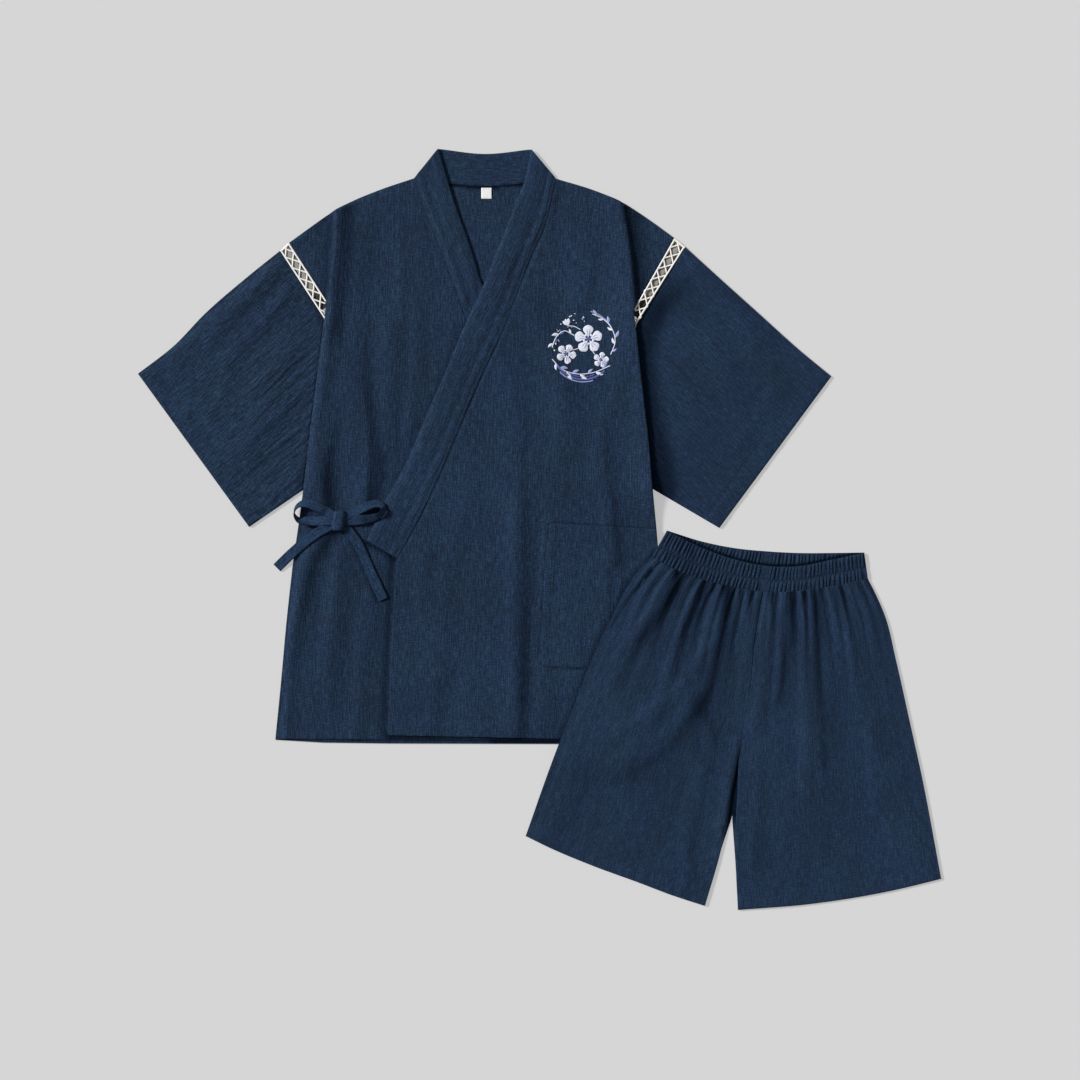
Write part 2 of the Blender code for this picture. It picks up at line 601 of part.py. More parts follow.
def build_tie():
    build_knot()
    for name, stations in TIE_RUNS.items():
        moved = [s._replace(x=s.x + JACKET_AT[0], y=s.y + JACKET_AT[1]) for s in stations]
        ribbon(name, moved, LOOP_WIDTH if "loop" in name else RIBBON_WIDTH)


def build_label():
    top = BACK_NECK[2][1] - 1.5
    left, right, low = LABEL_LEFT, LABEL_LEFT + LABEL_WIDTH, top - LABEL_DROP
    corners = np.array([(left, low), (right, low), (right, top), (left, top)])
    plate("size_label", placed(corners, JACKET_AT), LEVEL_1, LEVEL_1 + LABEL_CLOTH, WHITE)


# ---------------------------------------------------------------- the shorts, in their own frame
# x from the centre seam, y up from the ends of the waist.

WAIST_LEFT, WAIST_RIGHT = (-133.8, -1.5), (134.0, 1.4)
FRONT_WAIST = (
    WAIST_LEFT, (-82.1, -19.2), (-37.2, -29.1), (7.0, -32.3), (50.0, -27.1), (91.9, -13.2), WAIST_RIGHT,
)
BACK_WAIST = (
    WAIST_LEFT, (-83.2, -10.6), (-39.1, -13.9), (4.4, -12.9), (47.9, -9.8), (90.9, -4.5), WAIST_RIGHT,
)
BAND_LEFT, BAND_RIGHT = (-149.6, -39.7), (143.3, -33.1)
CENTRE_TOP, FORK, BACK_FORK = (5.0, -67.4), (-0.3, -286.8), (0.8, -374.6)
BAND_SEAM = (
    BAND_LEFT, (-113.0, -53.6), (-76.9, -61.4), (-32.6, -66.4), CENTRE_TOP, (54.0, -60.1), (96.3, -48.8),
    BAND_RIGHT,
)
BACK_CENTRE_TOP = (4.0, -50.5)
BACK_BAND_SEAM = (BAND_LEFT, (-80.0, -47.0), BACK_CENTRE_TOP, (90.0, -44.0), BAND_RIGHT)
CENTRE_SEAM = (CENTRE_TOP, (2.1, -135.6), (4.1, -205.4), FORK)
SIDE_SEAMS = {
    "left": (
        BAND_LEFT, (-163, -72.9), (-179.8, -114.3), (-213.3, -197.2), (-228.5, -251.4), (-243.7, -305.8),
        (-272.6, -433.9),
    ),
    "right": (
        BAND_RIGHT, (155.6, -51.2), (172.3, -79.8), (194.7, -138.2), (221.6, -213.7), (248.2, -289.0),
        (290.9, -422.8),
    ),
}
INSEAMS = {
    "left": (FORK, (-3.6, -337.5), (-4.5, -378.0), (-8.8, -421.2), (-21.1, -498.0)),
    "right": (FORK, (3.6, -337.5), (6.4, -380.0), (14.6, -444.6), (23.9, -498.0)),
}
HEMS = {
    "left": (
        (-272.6, -433.9), (-235.1, -446.8), (-180.8, -461.9), (-113.3, -477.7), (-68.2, -488.8),
        (-21.1, -498.0),
    ),
    "right": (
        (290.9, -422.8), (232.4, -444.9), (169.3, -464.9), (105.8, -481.4), (63.0, -490.2), (23.9, -498.0),
    ),
}
# Pleats gathered into the waistband: where each starts as a share of the half width, its run and its height
GATHERS = table(
    "share length height",
    (0.045, 70, 2.3), (0.130, 96, 2.8), (0.215, 62, 2.1), (0.300, 120, 3.0), (0.385, 80, 2.4),
    (0.470, 150, 3.0), (0.555, 72, 2.2), (0.640, 110, 2.7), (0.725, 84, 2.4), (0.810, 130, 2.9),
    (0.895, 66, 2.1), (0.960, 90, 2.3),
)
PLEAT_HALF_WIDTH = 0.045  # as a share of the half width
GATHER_ROWS = (0, 0.035, 0.08, 0.14, 0.21, 0.30, 0.42, 0.56, 0.70, 0.85, 1)
DRAG_FOLDS = (
    Fold(1.8, 13, ((-128, -78), (-160, -150))),
    Fold(2.0, 16, ((-62, -150), (-95, -215), (-160, -275))),
    Fold(1.6, 14, ((-26, -300), (-60, -240))),
    Fold(1.6, 14, ((28, -90), (22, -170), (14, -250))),
    Fold(1.8, 17, ((52, -110), (78, -200), (92, -320))),
    Fold(1.3, 15, ((170, -230), (190, -340))),
)
# The height of what lies beneath the shorts, by the distance inside the jacket's outline
LIFT_OVER_JACKET = table(
    "inside z", (-75, 0), (-50, 0.9), (-34, 3.3), (-18, 5.5), (30, 6.4), (60, 7.2), (300, 7.2),
)


def shorts_rest(plan):
    """The height of the surface beneath the shorts: the jacket's corner, then the floor."""
    set_plan = placed(plan, SHORTS_AT, SHORTS_TURN)
    x, y = set_plan[..., 0] - JACKET_AT[0], set_plan[..., 1] - JACKET_AT[1]
    side = np.interp(y, OVER_SIDE[:, 1], OVER_SIDE[:, 0])
    inside = np.minimum(side - x, y + 1.4)
    return read(LIFT_OVER_JACKET, inside, "inside", "z")


def lay(name, plan, lift, relief=0.0):
    rest = shorts_rest(plan) + lift
    wall(name, placed(plan, SHORTS_AT, SHORTS_TURN), rest, rest + CLOTH + relief)


def gathered(shares, fall):
    """The height of the pleats at shares across a half and at distances below the waistband."""
    height = np.zeros(np.broadcast(shares, fall).shape)
    for pleat in GATHERS:
        near = np.maximum(1 - np.abs(shares - pleat.share) / PLEAT_HALF_WIDTH, 0)
        height += pleat.height * near * np.exp(-((fall / pleat.length) ** 2))
    return height


def build_leg(side):
    out = -1 if side == "left" else 1
    side_line = shares_along(smooth_curve(SIDE_SEAMS[side]), GATHER_ROWS)
    inner_line = np.vstack([smooth_curve(CENTRE_SEAM), smooth_curve(INSEAMS[side])[1:]])
    inner = shares_along(inner_line, GATHER_ROWS)
    inner = inner + (SEAM_GAP * out, 0)
    crests = column(GATHERS, "share")
    valleys = (crests[1:] + crests[:-1]) / 2
    across = np.concatenate([[0], np.sort(np.concatenate([crests, valleys])), [1]])
    half_band = shares_along(smooth_curve(BAND_SEAM), np.linspace(0, 1, 121))
    middle = np.argmin(np.abs(half_band[:, 0] - CENTRE_TOP[0]))
    waist = half_band[: middle + 1] if side == "left" else half_band[middle:][::-1]
    waist = waist - (0, SEAM_GAP)
    waist[-1] = inner[0] - (0, SEAM_GAP)
    side_line[0] = waist[0]
    inner[0] = waist[-1]
    plan = between(side_line, inner, across, low=waist, high=HEMS[side], hold=6)
    fall = np.linalg.norm(plan - plan[0], axis=-1)
    relief = gathered(across[None, :], fall) + ridges(plan, DRAG_FOLDS)
    lay(f"shorts_front_{side}", plan, LEVEL_1 + SEAM_GAP + relief)

    back_seam = np.vstack([[BACK_CENTRE_TOP], smooth_curve([BACK_FORK, *INSEAMS[side][3:]])])
    back_inner = shares_along(back_seam, GATHER_ROWS) + (SEAM_GAP * out, 0)
    back_waist = shares_along(smooth_curve(BACK_BAND_SEAM), np.linspace(0, 1, 61))
    half = back_waist[:31] if side == "left" else back_waist[30:][::-1]
    half = half - (0, SEAM_GAP)
    half[-1] += (SEAM_GAP * out, 0)
    side_back = side_line.copy()
    side_back[0], back_inner[0] = half[0], half[-1]
    back = between(side_back, back_inner, np.linspace(0, 1, 13), low=half, high=HEMS[side], hold=6)
    lay(f"shorts_back_{side}", back, 0)


def build_band(name, top, seam, lift):
    """A waistband gathered on elastic: two tiers of ribs parted by a row of stitching, plain in the middle."""
    shares = np.linspace(0, 1, 2 * RIB_COUNT + 1)
    top_edge = shares_along(smooth_curve(top), shares)
    low_edge = shares_along(smooth_curve(seam), shares)
    plan = between(low_edge, top_edge, (0, ELASTIC_STITCH, 1))
    plain = ease(np.abs(plan[..., 0] - CENTRE_TOP[0]), *PLAIN_PATCH)
    crest = (np.arange(len(shares)) % 2)[:, None]
    rib = crest * np.array(RIB_SWELL) * plain * RIB_HEIGHT
    lay(name, plan, lift, rib)


def build_shorts():
    for side in ("left", "right"):
        build_leg(side)
    build_band("waistband_back", BACK_WAIST, BACK_BAND_SEAM, 0)
    build_band("waistband_front", FRONT_WAIST, BAND_SEAM, CLOTH + RIB_HEIGHT + SEAM_GAP)


build_body()
build_collar()
for each_sleeve in SLEEVES:
    build_sleeve(each_sleeve)
for lace_side, lace_layer, *corners in (
    ("left", "front", LEFT_LACE_TOP_IN, LEFT_LACE_LOW_IN, LEFT_LACE_TOP_OUT, LEFT_LACE_LOW_OUT),
    ("left", "back", LEFT_BACK_LACE_TOP_IN, LEFT_LACE_LOW_IN, LEFT_BACK_LACE_TOP_OUT, LEFT_LACE_LOW_OUT),
    ("right", "front", RIGHT_LACE_TOP_IN, RIGHT_LACE_LOW_IN, RIGHT_LACE_TOP_OUT, RIGHT_LACE_LOW_OUT),
    ("right", "back", RIGHT_BACK_LACE_TOP_IN, RIGHT_LACE_LOW_IN, RIGHT_BACK_LACE_TOP_OUT, RIGHT_LACE_LOW_OUT),
):
    build_lace(lace_side, lace_layer, *corners)
build_tie()
build_label()
build_shorts()
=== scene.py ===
# %% [markdown]
# # A jinbei, laid out flat
# A jinbei is a light summer suit of two pieces: a jacket that crosses over in front and ties at one side, and shorts
# with an elastic waist. This one is of crinkled navy cotton with a strip of ladder lace at each shoulder.
#
# The lesson dresses a frame of plain solids: each gets a finer shell in its place, with its creases, crinkle, seams
# and weave. The dressed suit has to stay the same size.

import json
from collections import namedtuple
from math import cos, pi, radians, sin

import bpy
import numpy as np
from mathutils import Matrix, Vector
from mathutils.bvhtree import BVHTree
from mathutils.geometry import delaunay_2d_cdt

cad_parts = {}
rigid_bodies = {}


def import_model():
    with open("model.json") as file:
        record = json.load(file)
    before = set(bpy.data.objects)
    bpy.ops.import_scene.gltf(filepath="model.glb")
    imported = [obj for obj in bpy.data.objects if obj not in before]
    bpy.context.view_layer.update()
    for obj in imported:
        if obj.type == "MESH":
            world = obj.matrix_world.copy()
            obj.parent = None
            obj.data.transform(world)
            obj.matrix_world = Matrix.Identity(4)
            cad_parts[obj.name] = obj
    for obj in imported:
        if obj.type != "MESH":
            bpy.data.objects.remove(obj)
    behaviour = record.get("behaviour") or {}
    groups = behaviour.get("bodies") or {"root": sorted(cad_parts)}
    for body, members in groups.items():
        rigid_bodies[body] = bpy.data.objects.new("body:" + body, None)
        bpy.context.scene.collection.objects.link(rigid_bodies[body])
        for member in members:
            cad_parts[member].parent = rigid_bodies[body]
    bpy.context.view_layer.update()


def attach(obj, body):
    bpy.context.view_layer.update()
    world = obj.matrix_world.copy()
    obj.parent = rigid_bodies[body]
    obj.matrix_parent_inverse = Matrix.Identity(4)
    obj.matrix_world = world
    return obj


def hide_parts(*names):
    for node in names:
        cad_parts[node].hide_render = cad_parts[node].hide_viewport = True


for thing in list(bpy.data.objects):
    bpy.data.objects.remove(thing, do_unlink=True)

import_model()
MM = 0.001

# %% [markdown]
# ## Floor, light and camera
# One sun, low at the left like a window, draws the creases, and it lights every part of the floor alike, which a lamp
# near the cloth wouldn't. The sky fills the rest. The floor glows a little, as a light table does, so it shows almost
# no shadow while the folds keep theirs. The camera looks straight down.

# %% Floor, light and camera
scene = bpy.context.scene
scene.view_settings.view_transform = "Standard"
scene.view_settings.look = "None"

SIGHT_WIDTH = 1.458  # metres of floor across the picture
SIGHT_CENTRE = (0.0005, -0.0144)
LENS, SENSOR = 85, 36
SUN_ENERGY, SUN_SOFTNESS = 4.5, radians(12)
SUN_FROM = (-0.86, 0.38, 0.56)
SKY_STRENGTH = 0.27
FLOOR_GREY, FLOOR_GLOW = 0.26, 0.412
FLOOR_HALF, FLOOR_DROP = 3.0, 0.0004


def plain_material(name, colour, roughness):
    material = bpy.data.materials.new(name)
    material.use_nodes = True
    shader = material.node_tree.nodes["Principled BSDF"]
    shader.inputs["Base Color"].default_value = (*colour, 1)
    shader.inputs["Roughness"].default_value = roughness
    return material


def mesh_object(name, corners, faces, material):
    """An object from points in metres."""
    mesh = bpy.data.meshes.new(name)
    mesh.from_pydata([tuple(c) for c in corners], [], faces)
    mesh.materials.append(material)
    made = bpy.data.objects.new(name, mesh)
    scene.collection.objects.link(made)
    return made


floor = mesh_object(
    "floor", [(x * FLOOR_HALF, y * FLOOR_HALF, 0) for x, y in ((-1, -1), (1, -1), (1, 1), (-1, 1))], [(0, 1, 2, 3)],
    plain_material("pale_floor", (FLOOR_GREY,) * 3, 0.9),
)
glow = floor.data.materials[0].node_tree.nodes["Principled BSDF"]
glow.inputs["Specular IOR Level"].default_value = 0
glow.inputs["Emission Color"].default_value = (1, 1, 1, 1)
glow.inputs["Emission Strength"].default_value = FLOOR_GLOW
floor.location.z = -FLOOR_DROP

sun = bpy.data.objects.new("window_light", bpy.data.lights.new("window_light", "SUN"))
sun.data.energy, sun.data.angle = SUN_ENERGY, SUN_SOFTNESS
sun.rotation_euler = Vector(SUN_FROM).to_track_quat("Z", "Y").to_euler()
scene.collection.objects.link(sun)

scene.world = bpy.data.worlds.new("soft_sky")
scene.world.use_nodes = True
sky = scene.world.node_tree.nodes["Background"]
sky.inputs["Color"].default_value = (1, 1, 1, 1)
sky.inputs["Strength"].default_value = SKY_STRENGTH

camera = bpy.data.objects.new("overhead", bpy.data.cameras.new("overhead"))
camera.data.lens, camera.data.sensor_width = LENS, SENSOR
camera.location = (*SIGHT_CENTRE, SIGHT_WIDTH * LENS / SENSOR)
scene.collection.objects.link(camera)
scene.camera = camera
print("camera height:", round(camera.location.z, 3), "m")

# %% [markdown]
# ## Curves, grids and heights
# Each edge is a smooth curve through a few points, and it may have corners. A cloth grid is then ruled from one edge to
# the other. All lengths in the tables are millimetres.

# %% Curves and grids
GRID = 2.6  # mm between the points of a fine grid
RIM_STEPS = (0, 0.5, 1.1, 2.0, 3.2)  # mm from an edge of the cloth, where its rounding needs closer points


def smooth_through(knots, values, at, corners=()):
    """Values along a smooth curve through the knots, broken at the corners, which are places in the list of knots."""
    knots, values, at = np.array(knots, float), np.array(values, float), np.asarray(at, float)
    found = np.empty((len(at), values.shape[1]))
    breaks = [0, *corners, len(knots) - 1]
    for low, high in zip(breaks, breaks[1:]):
        k, v = knots[low : high + 1], values[low : high + 1]
        steps = np.diff(k)[:, None]
        slopes = np.diff(v, axis=0) / steps
        inner = (slopes[:-1] * steps[1:] + slopes[1:] * steps[:-1]) / (steps[:-1] + steps[1:])
        tangents = np.vstack([slopes[:1], inner, slopes[-1:]])
        inside = (at >= k[0]) & (at <= k[-1])
        i = np.clip(np.searchsorted(k, at[inside], side="right") - 1, 0, len(k) - 2)
        t = ((at[inside] - k[i]) / steps[i, 0])[:, None]
        found[inside] = (
            (2 * t**3 - 3 * t**2 + 1) * v[i] + (t**3 - 2 * t**2 + t) * steps[i] * tangents[i]
            + (3 * t**2 - 2 * t**3) * v[i + 1] + (t**3 - t**2) * steps[i] * tangents[i + 1]
        )
    return found


def lengths_along(points):
    points = np.array(points, float)
    return np.concatenate([[0], np.cumsum(np.linalg.norm(np.diff(points, axis=0), axis=1))])


def curve(points, shares, corners=()):
    """Points at shares of the length of a smooth curve."""
    knots = lengths_along(points)
    dense = smooth_through(knots, points, np.linspace(0, knots[-1], 40 * len(points)), corners)
    length = lengths_along(dense)
    wanted = np.array(shares) * length[-1]
    return np.stack([np.interp(wanted, length, dense[:, k]) for k in range(dense.shape[1])], axis=-1)


def places(length, spacing=GRID, rim=RIM_STEPS):
    """Distances from 0 to a length: close together by its ends, and evenly spaced between."""
    count = max(2, round((length - 2 * rim[-1]) / spacing))
    middle = np.linspace(rim[-1], length - rim[-1], count + 1)
    return np.concatenate([rim[:-1], middle, length - np.array(rim[-2::-1])])


def ruled(first, last, shares, low=None, high=None, hold=3):
    """A grid of points from the edge first to the edge last. The points low and high bend its end rows."""
    first, last = np.array(first), np.array(last)
    shares = np.broadcast_to(shares, (len(first), np.shape(shares)[-1]))[..., None]
    plan = first[:, None] * (1 - shares) + last[:, None] * shares
    v = np.linspace(0, 1, len(first))[:, None, None]
    for bend, row, weight in ((low, 0, (1 - v) ** hold), (high, -1, v**hold)):
        if bend is not None:
            plan = plan + weight * (curve(bend, shares[row, :, 0]) - plan[row])
    return plan


def filled_rows(rows, corners=(), spacing=GRID, rim=RIM_STEPS):
    """The numbers of a table's rows, filled in smoothly between them by the length along its two edges."""
    values = np.array([tuple(row) for row in rows], float)
    knots = (lengths_along(values[:, :2]) + lengths_along(values[:, 2:4])) / 2
    at = places(knots[-1], spacing, rim)
    return smooth_through(knots, values, at, corners), knots, at


def placed(plan, at, turn=0.0):
    """Points of a garment's own frame, moved to where the garment lies."""
    x, y = plan[..., 0], plan[..., 1]
    return np.stack([at[0] + x * cos(turn) - y * sin(turn), at[1] + x * sin(turn) + y * cos(turn)], axis=-1)


def mean_width(first, last):
    """The mean distance between two edges that have the same number of points."""
    return float(np.mean(np.linalg.norm(last - first, axis=1)))


print("places along 40 mm:", places(40).round(1))

# %% [markdown]
# A crease in cloth is a soft ridge or trough along a path. It is strongest where something gathers or pulls the cloth
# and dies away from there, and one side is often steeper. Crinkle is finer and has no single path, so it comes from
# smooth noise, stretched along the warp, with a fixed seed. Little light gets down into a crease, so each grid also
# notes where it lies below its own surroundings, and shade is painted there.

# %% Heights
Crease = namedtuple("Crease", "height west east start end path")
FINE_CRINKLE, BROAD_CRINKLE, CROSS_CRINKLE = 0.14, 0.22, 0.10  # mm


def crease_rows(*rows):
    """Creases from rows with the five numbers first, and then the points of the path."""
    return tuple(Crease(*row[:5], row[5:]) for row in rows)


def ease(value, start, end):
    """0 before start, 1 after end, and smooth between them."""
    t = np.clip((np.asarray(value, float) - start) / (end - start), 0, 1)
    return t * t * (3 - 2 * t)


def bell(value, centre, width):
    """1 at the centre, and smoothly down to 0 on both sides of it."""
    return np.exp(-(((value - centre) / width) ** 2))


def near_path(plan, path):
    """For each point: its distance from a path, the share of the path where it is nearest, and its side of the path.

    The side is above 0 to the east of a path that runs down the picture."""
    path = np.array(path, float)
    if len(path) > 2:
        path = curve(path, np.linspace(0, 1, 3 * len(path)))
    length = lengths_along(path)
    nearest = np.full(plan.shape[:-1], np.inf)
    share, side = np.zeros(plan.shape[:-1]), np.zeros(plan.shape[:-1])
    for i, (start, end) in enumerate(zip(path[:-1], path[1:])):
        run = end - start
        offset = plan - start
        t = np.clip((offset @ run) / (run @ run), 0, 1)
        away = np.linalg.norm(offset - t[..., None] * run, axis=-1)
        closer = away < nearest
        nearest = np.where(closer, away, nearest)
        share = np.where(closer, (length[i] + t * (length[i + 1] - length[i])) / length[-1], share)
        side = np.where(closer, run[0] * offset[..., 1] - run[1] * offset[..., 0], side)
    return nearest, share, side


def creased(plan, creases):
    """The height of soft ridges, and of troughs below 0, each as wide to the west and to the east as it says."""
    height = np.zeros(plan.shape[:-1])
    for crease in creases:
        away, share, side = near_path(plan, crease.path)
        strength = crease.start + (crease.end - crease.start) * ease(share, 0, 1)
        width = np.where(side > 0, crease.east, crease.west)
        height += crease.height * strength * bell(away, 0, width)
    return height


def hollow_shade(height, reach=5, per_mm=0.16):
    """From 0 to 0.75: painted shade, by how far each point of a grid lies below those around it."""
    mean = height
    for axis in (0, 1):
        wide = np.pad(mean, [(reach, reach) if k == axis else (0, 0) for k in (0, 1)], mode="edge")
        count = height.shape[axis]
        mean = sum(np.take(wide, range(k, k + count), axis) for k in range(2 * reach + 1)) / (2 * reach + 1)
    return np.clip((mean - height) * per_mm, 0, 0.75)


def shade_along_edge(plan, path, strength, reach):
    """Painted shade along a path, where one piece stands over another."""
    return strength * bell(near_path(plan, path)[0], 0, reach)


def soft_noise(u, v, seed):
    """Smooth noise from -1 to 1, over places counted in cells."""
    cells = np.random.default_rng(seed).uniform(-1, 1, (256, 256))
    i, j = np.floor(u).astype(int), np.floor(v).astype(int)
    s, t = u - i, v - j
    s, t = s * s * (3 - 2 * s), t * t * (3 - 2 * t)
    a, b = cells[i % 256, j % 256], cells[(i + 1) % 256, j % 256]
    c, d = cells[i % 256, (j + 1) % 256], cells[(i + 1) % 256, (j + 1) % 256]
    return (a * (1 - s) + b * s) * (1 - t) + (c * (1 - s) + d * s) * t


def crinkle(grain, seed):
    """The crinkle of the cloth over its own coordinates: narrow across the warp and long along it."""
    u, v = grain[..., 0], grain[..., 1]
    wander = 2.2 * soft_noise(u / 60, v / 34, seed)
    height = FINE_CRINKLE * soft_noise((u + wander) / 4.0, v / 26, seed + 1)
    height += BROAD_CRINKLE * soft_noise((u + wander) / 9.5, v / 70, seed + 2)
    return height + CROSS_CRINKLE * soft_noise(u / 18, v / 7, seed + 3)


# %% [markdown]
# ## A shell of cloth
# Cloth has two faces and an edge, so each piece is a closed shell. Blender's Solidify would make the underside as fine
# as the top, but here it has one large cell for every few small ones. The edge of the top is rounded, as a fold is.
# Each point keeps its place on the woven cloth, as a UV map, so that the weave follows the piece.

# %% A shell of cloth
UNDER_CELLS = 6  # cells of the top for one of the underside
LEAST_CLOTH = 0.7
ROUND_DROP, ROUND_REACH = 0.5, 2.0
SHARP_ANGLE = radians(50)
pieces = {}
stitch_lines = []


def from_edges(plan):
    """The distance of each point of a grid from its low, high, first and last edge."""
    steps = [np.linalg.norm(np.diff(plan, axis=axis), axis=-1) for axis in (0, 1)]
    up = np.pad(np.cumsum(steps[0], axis=0), ((1, 0), (0, 0)))
    across = np.pad(np.cumsum(steps[1], axis=1), ((0, 0), (1, 0)))
    return up, up[-1:] - up, across, across[:, -1:] - across


def line_inside(plan, edge, distance):
    """The line at a distance inside one edge of a grid. Edges count as in from_edges."""
    away = from_edges(plan)[edge]
    if edge < 2:
        plan, away = plan.transpose(1, 0, 2), away.T
    if edge % 2:
        plan, away = plan[:, ::-1], away[:, ::-1]
    return np.array([[np.interp(distance, a, p[:, k]) for k in (0, 1)] for a, p in zip(away, plan)])


def rounded(plan, rolls=None):
    """How far the top of the cloth falls at its edges. rolls gives (drop, reach) at low, high, first and last."""
    fall = np.zeros(plan.shape[:2])
    for away, (drop, reach) in zip(from_edges(plan), rolls or [(ROUND_DROP, ROUND_REACH)] * 4):
        fall = np.maximum(fall, drop * np.clip(1 - away / reach, 0, 1) ** 2)
    return fall


def set_cloth_map(mesh, grain):
    """Keeps each point's place on the woven cloth, in metres, as the UV map named cloth."""
    places_on_cloth = mesh.uv_layers.new(name="cloth")
    corner_points = np.empty(len(mesh.loops), np.int32)
    mesh.loops.foreach_get("vertex_index", corner_points)
    places_on_cloth.data.foreach_set("uv", (np.asarray(grain)[corner_points] * MM).astype(np.float32).ravel())


def face_out(mesh):
    """Turns a closed piece's faces outwards, where its volume comes out below zero."""
    mesh.calc_loop_triangles()
    points = np.empty(len(mesh.vertices) * 3, np.float32)
    triangles = np.empty(len(mesh.loop_triangles) * 3, np.int32)
    mesh.vertices.foreach_get("co", points)
    mesh.loop_triangles.foreach_get("vertices", triangles)
    a, b, c = points.reshape(-1, 3)[triangles.reshape(-1, 3)].transpose(1, 0, 2)
    if np.einsum("ij,ij->i", a, np.cross(b, c)).sum() < 0:
        mesh.flip_normals()
    mesh.update()


def finish_piece(name, corners, faces, grain, material, painted_shade=None):
    """A smooth mesh with its cloth map. Corners are in millimetres, and those that no face uses are left out.

    The last argument, from 0 to 1, is painted shade: darker colour and less shine where the cloth is so deep in a
    fold or under an edge that no light gets in."""
    used = np.unique(np.concatenate([np.asarray(face) for face in faces]))
    new_place = np.full(len(corners), -1)
    new_place[used] = np.arange(len(used))
    made = mesh_object(name, np.asarray(corners)[used] * MM, [[int(new_place[v]) for v in f] for f in faces], material)
    set_cloth_map(made.data, np.asarray(grain)[used])
    if painted_shade is not None:
        shade_value = made.data.attributes.new("painted_shade", "FLOAT", "POINT")
        shade_value.data.foreach_set("value", np.clip(np.asarray(painted_shade)[used], 0, 1).astype(np.float32))
    made.data.polygons.foreach_set("use_smooth", [True] * len(made.data.polygons))
    made.data.set_sharp_from_angle(angle=SHARP_ANGLE)
    face_out(made.data)
    pieces[name] = made
    return made


def shell(name, plan, under, over, grain, material, floor_at=0.0, painted_shade=None):
    """A closed shell over a grid: fine above, coarse below. The underside drops where the top does, to floor_at."""
    rows, columns = plan.shape[:2]
    over = np.maximum(np.broadcast_to(over, (rows, columns)), floor_at + LEAST_CLOTH)
    under = np.clip(over - LEAST_CLOTH, floor_at, np.maximum(under, floor_at))
    top = np.dstack([plan, over]).reshape(-1, 3)
    base = np.dstack([plan, under]).reshape(-1, 3)
    number = np.arange(rows * columns).reshape(rows, columns)
    a, b, c, d = number[:-1, :-1], number[:-1, 1:], number[1:, 1:], number[1:, :-1]
    faces = np.stack([a, b, c, d], axis=-1).reshape(-1, 4).tolist()
    below = number + rows * columns
    row_cuts = [*range(0, rows - 1, UNDER_CELLS), rows - 1]
    column_cuts = [*range(0, columns - 1, UNDER_CELLS), columns - 1]
    for i, i_next in zip(row_cuts, row_cuts[1:]):
        for j, j_next in zip(column_cuts, column_cuts[1:]):
            left = below[i : i_next + 1, j] if j == 0 else below[[i, i_next], j]
            far = below[i_next, j : j_next + 1] if i_next == rows - 1 else below[i_next, [j, j_next]]
            right = below[i : i_next + 1, j_next] if j_next == columns - 1 else below[[i, i_next], j_next]
            near = below[i, j : j_next + 1] if i == 0 else below[i, [j, j_next]]
            faces.append(np.concatenate([left[:-1], far[:-1], right[:0:-1], near[:0:-1]]).tolist())
    rim = [*number[:, 0], *number[-1, 1:], *number[-2::-1, -1], *number[0, -2:0:-1]]
    lower = rows * columns
    faces += [[int(p), int(q), int(q) + lower, int(p) + lower] for p, q in zip(rim, rim[1:] + rim[:1])]
    grain = np.asarray(grain).reshape(-1, 2)
    if painted_shade is not None:
        painted_shade = np.concatenate([np.broadcast_to(painted_shade, (rows, columns)).ravel(), np.zeros(rows * columns)])
    return finish_piece(name, np.vstack([top, base]), faces, np.vstack([grain, grain]), material, painted_shade)


def even_outline(outline, spacing):
    """The outline's corners, with points filled in so that no side is longer than the spacing."""
    filled = []
    for start, end in zip(outline, np.roll(outline, -1, axis=0)):
        count = max(1, int(np.ceil(np.linalg.norm(end - start) / spacing)))
        filled += [start + (end - start) * k / count for k in range(count)]
    return np.array(filled)


def flat_shell(name, outline, under, over, grain_at, material, spacing=6.0, painted_shade_at=None):
    """A closed shell inside any outline. under and over are heights, or functions of points."""
    rim = even_outline(np.array(outline, float), spacing)
    low, high = rim.min(axis=0), rim.max(axis=0)
    x, y = np.meshgrid(np.arange(low[0], high[0], spacing), np.arange(low[1], high[1], spacing))
    x = x + (np.arange(x.shape[0]) % 2)[:, None] * spacing / 2
    inner = np.column_stack([x.ravel(), y.ravel()])
    ahead = np.roll(rim, -1, axis=0)
    crossings = sum(
        ((p[1] > inner[:, 1]) != (q[1] > inner[:, 1]))
        & (inner[:, 0] < (q[0] - p[0]) * (inner[:, 1] - p[1]) / ((q[1] - p[1]) or 1e-9) + p[0])
        for p, q in zip(rim, ahead)
    )
    clear = np.min([np.linalg.norm(inner - p, axis=1) for p in rim], axis=0) > 0.6 * spacing
    inner = inner[(crossings % 2 == 1) & clear]
    points = np.vstack([rim, inner])
    loops = [list(range(len(rim)))]
    flat, _, faces, *_ = delaunay_2d_cdt([Vector(p) for p in points], [], loops, 1, 1e-6)
    flat = np.array([tuple(p) for p in flat])
    area = np.sum(rim[:, 0] * ahead[:, 1] - ahead[:, 0] * rim[:, 1])
    ring = list(range(len(rim)))[:: 1 if area > 0 else -1]
    count = len(flat)
    heights = [value(flat) if callable(value) else np.full(count, value) for value in (over, under)]
    corners = np.vstack([np.column_stack([flat, height]) for height in heights])
    cap = [list(f) for f in faces]
    first = flat[cap[0]]
    if np.cross(first[1] - first[0], first[2] - first[0]) < 0:
        cap = [f[::-1] for f in cap]
    all_faces = cap + [[v + count for v in f[::-1]] for f in cap]
    all_faces += [[b, a, a + count, b + count] for a, b in zip(ring, ring[1:] + ring[:1])]
    grain = grain_at(flat)
    painted_shade = np.concatenate([painted_shade_at(flat), np.zeros(count)]) if painted_shade_at else None
    return finish_piece(name, corners, all_faces, np.vstack([grain, grain]), material, painted_shade)


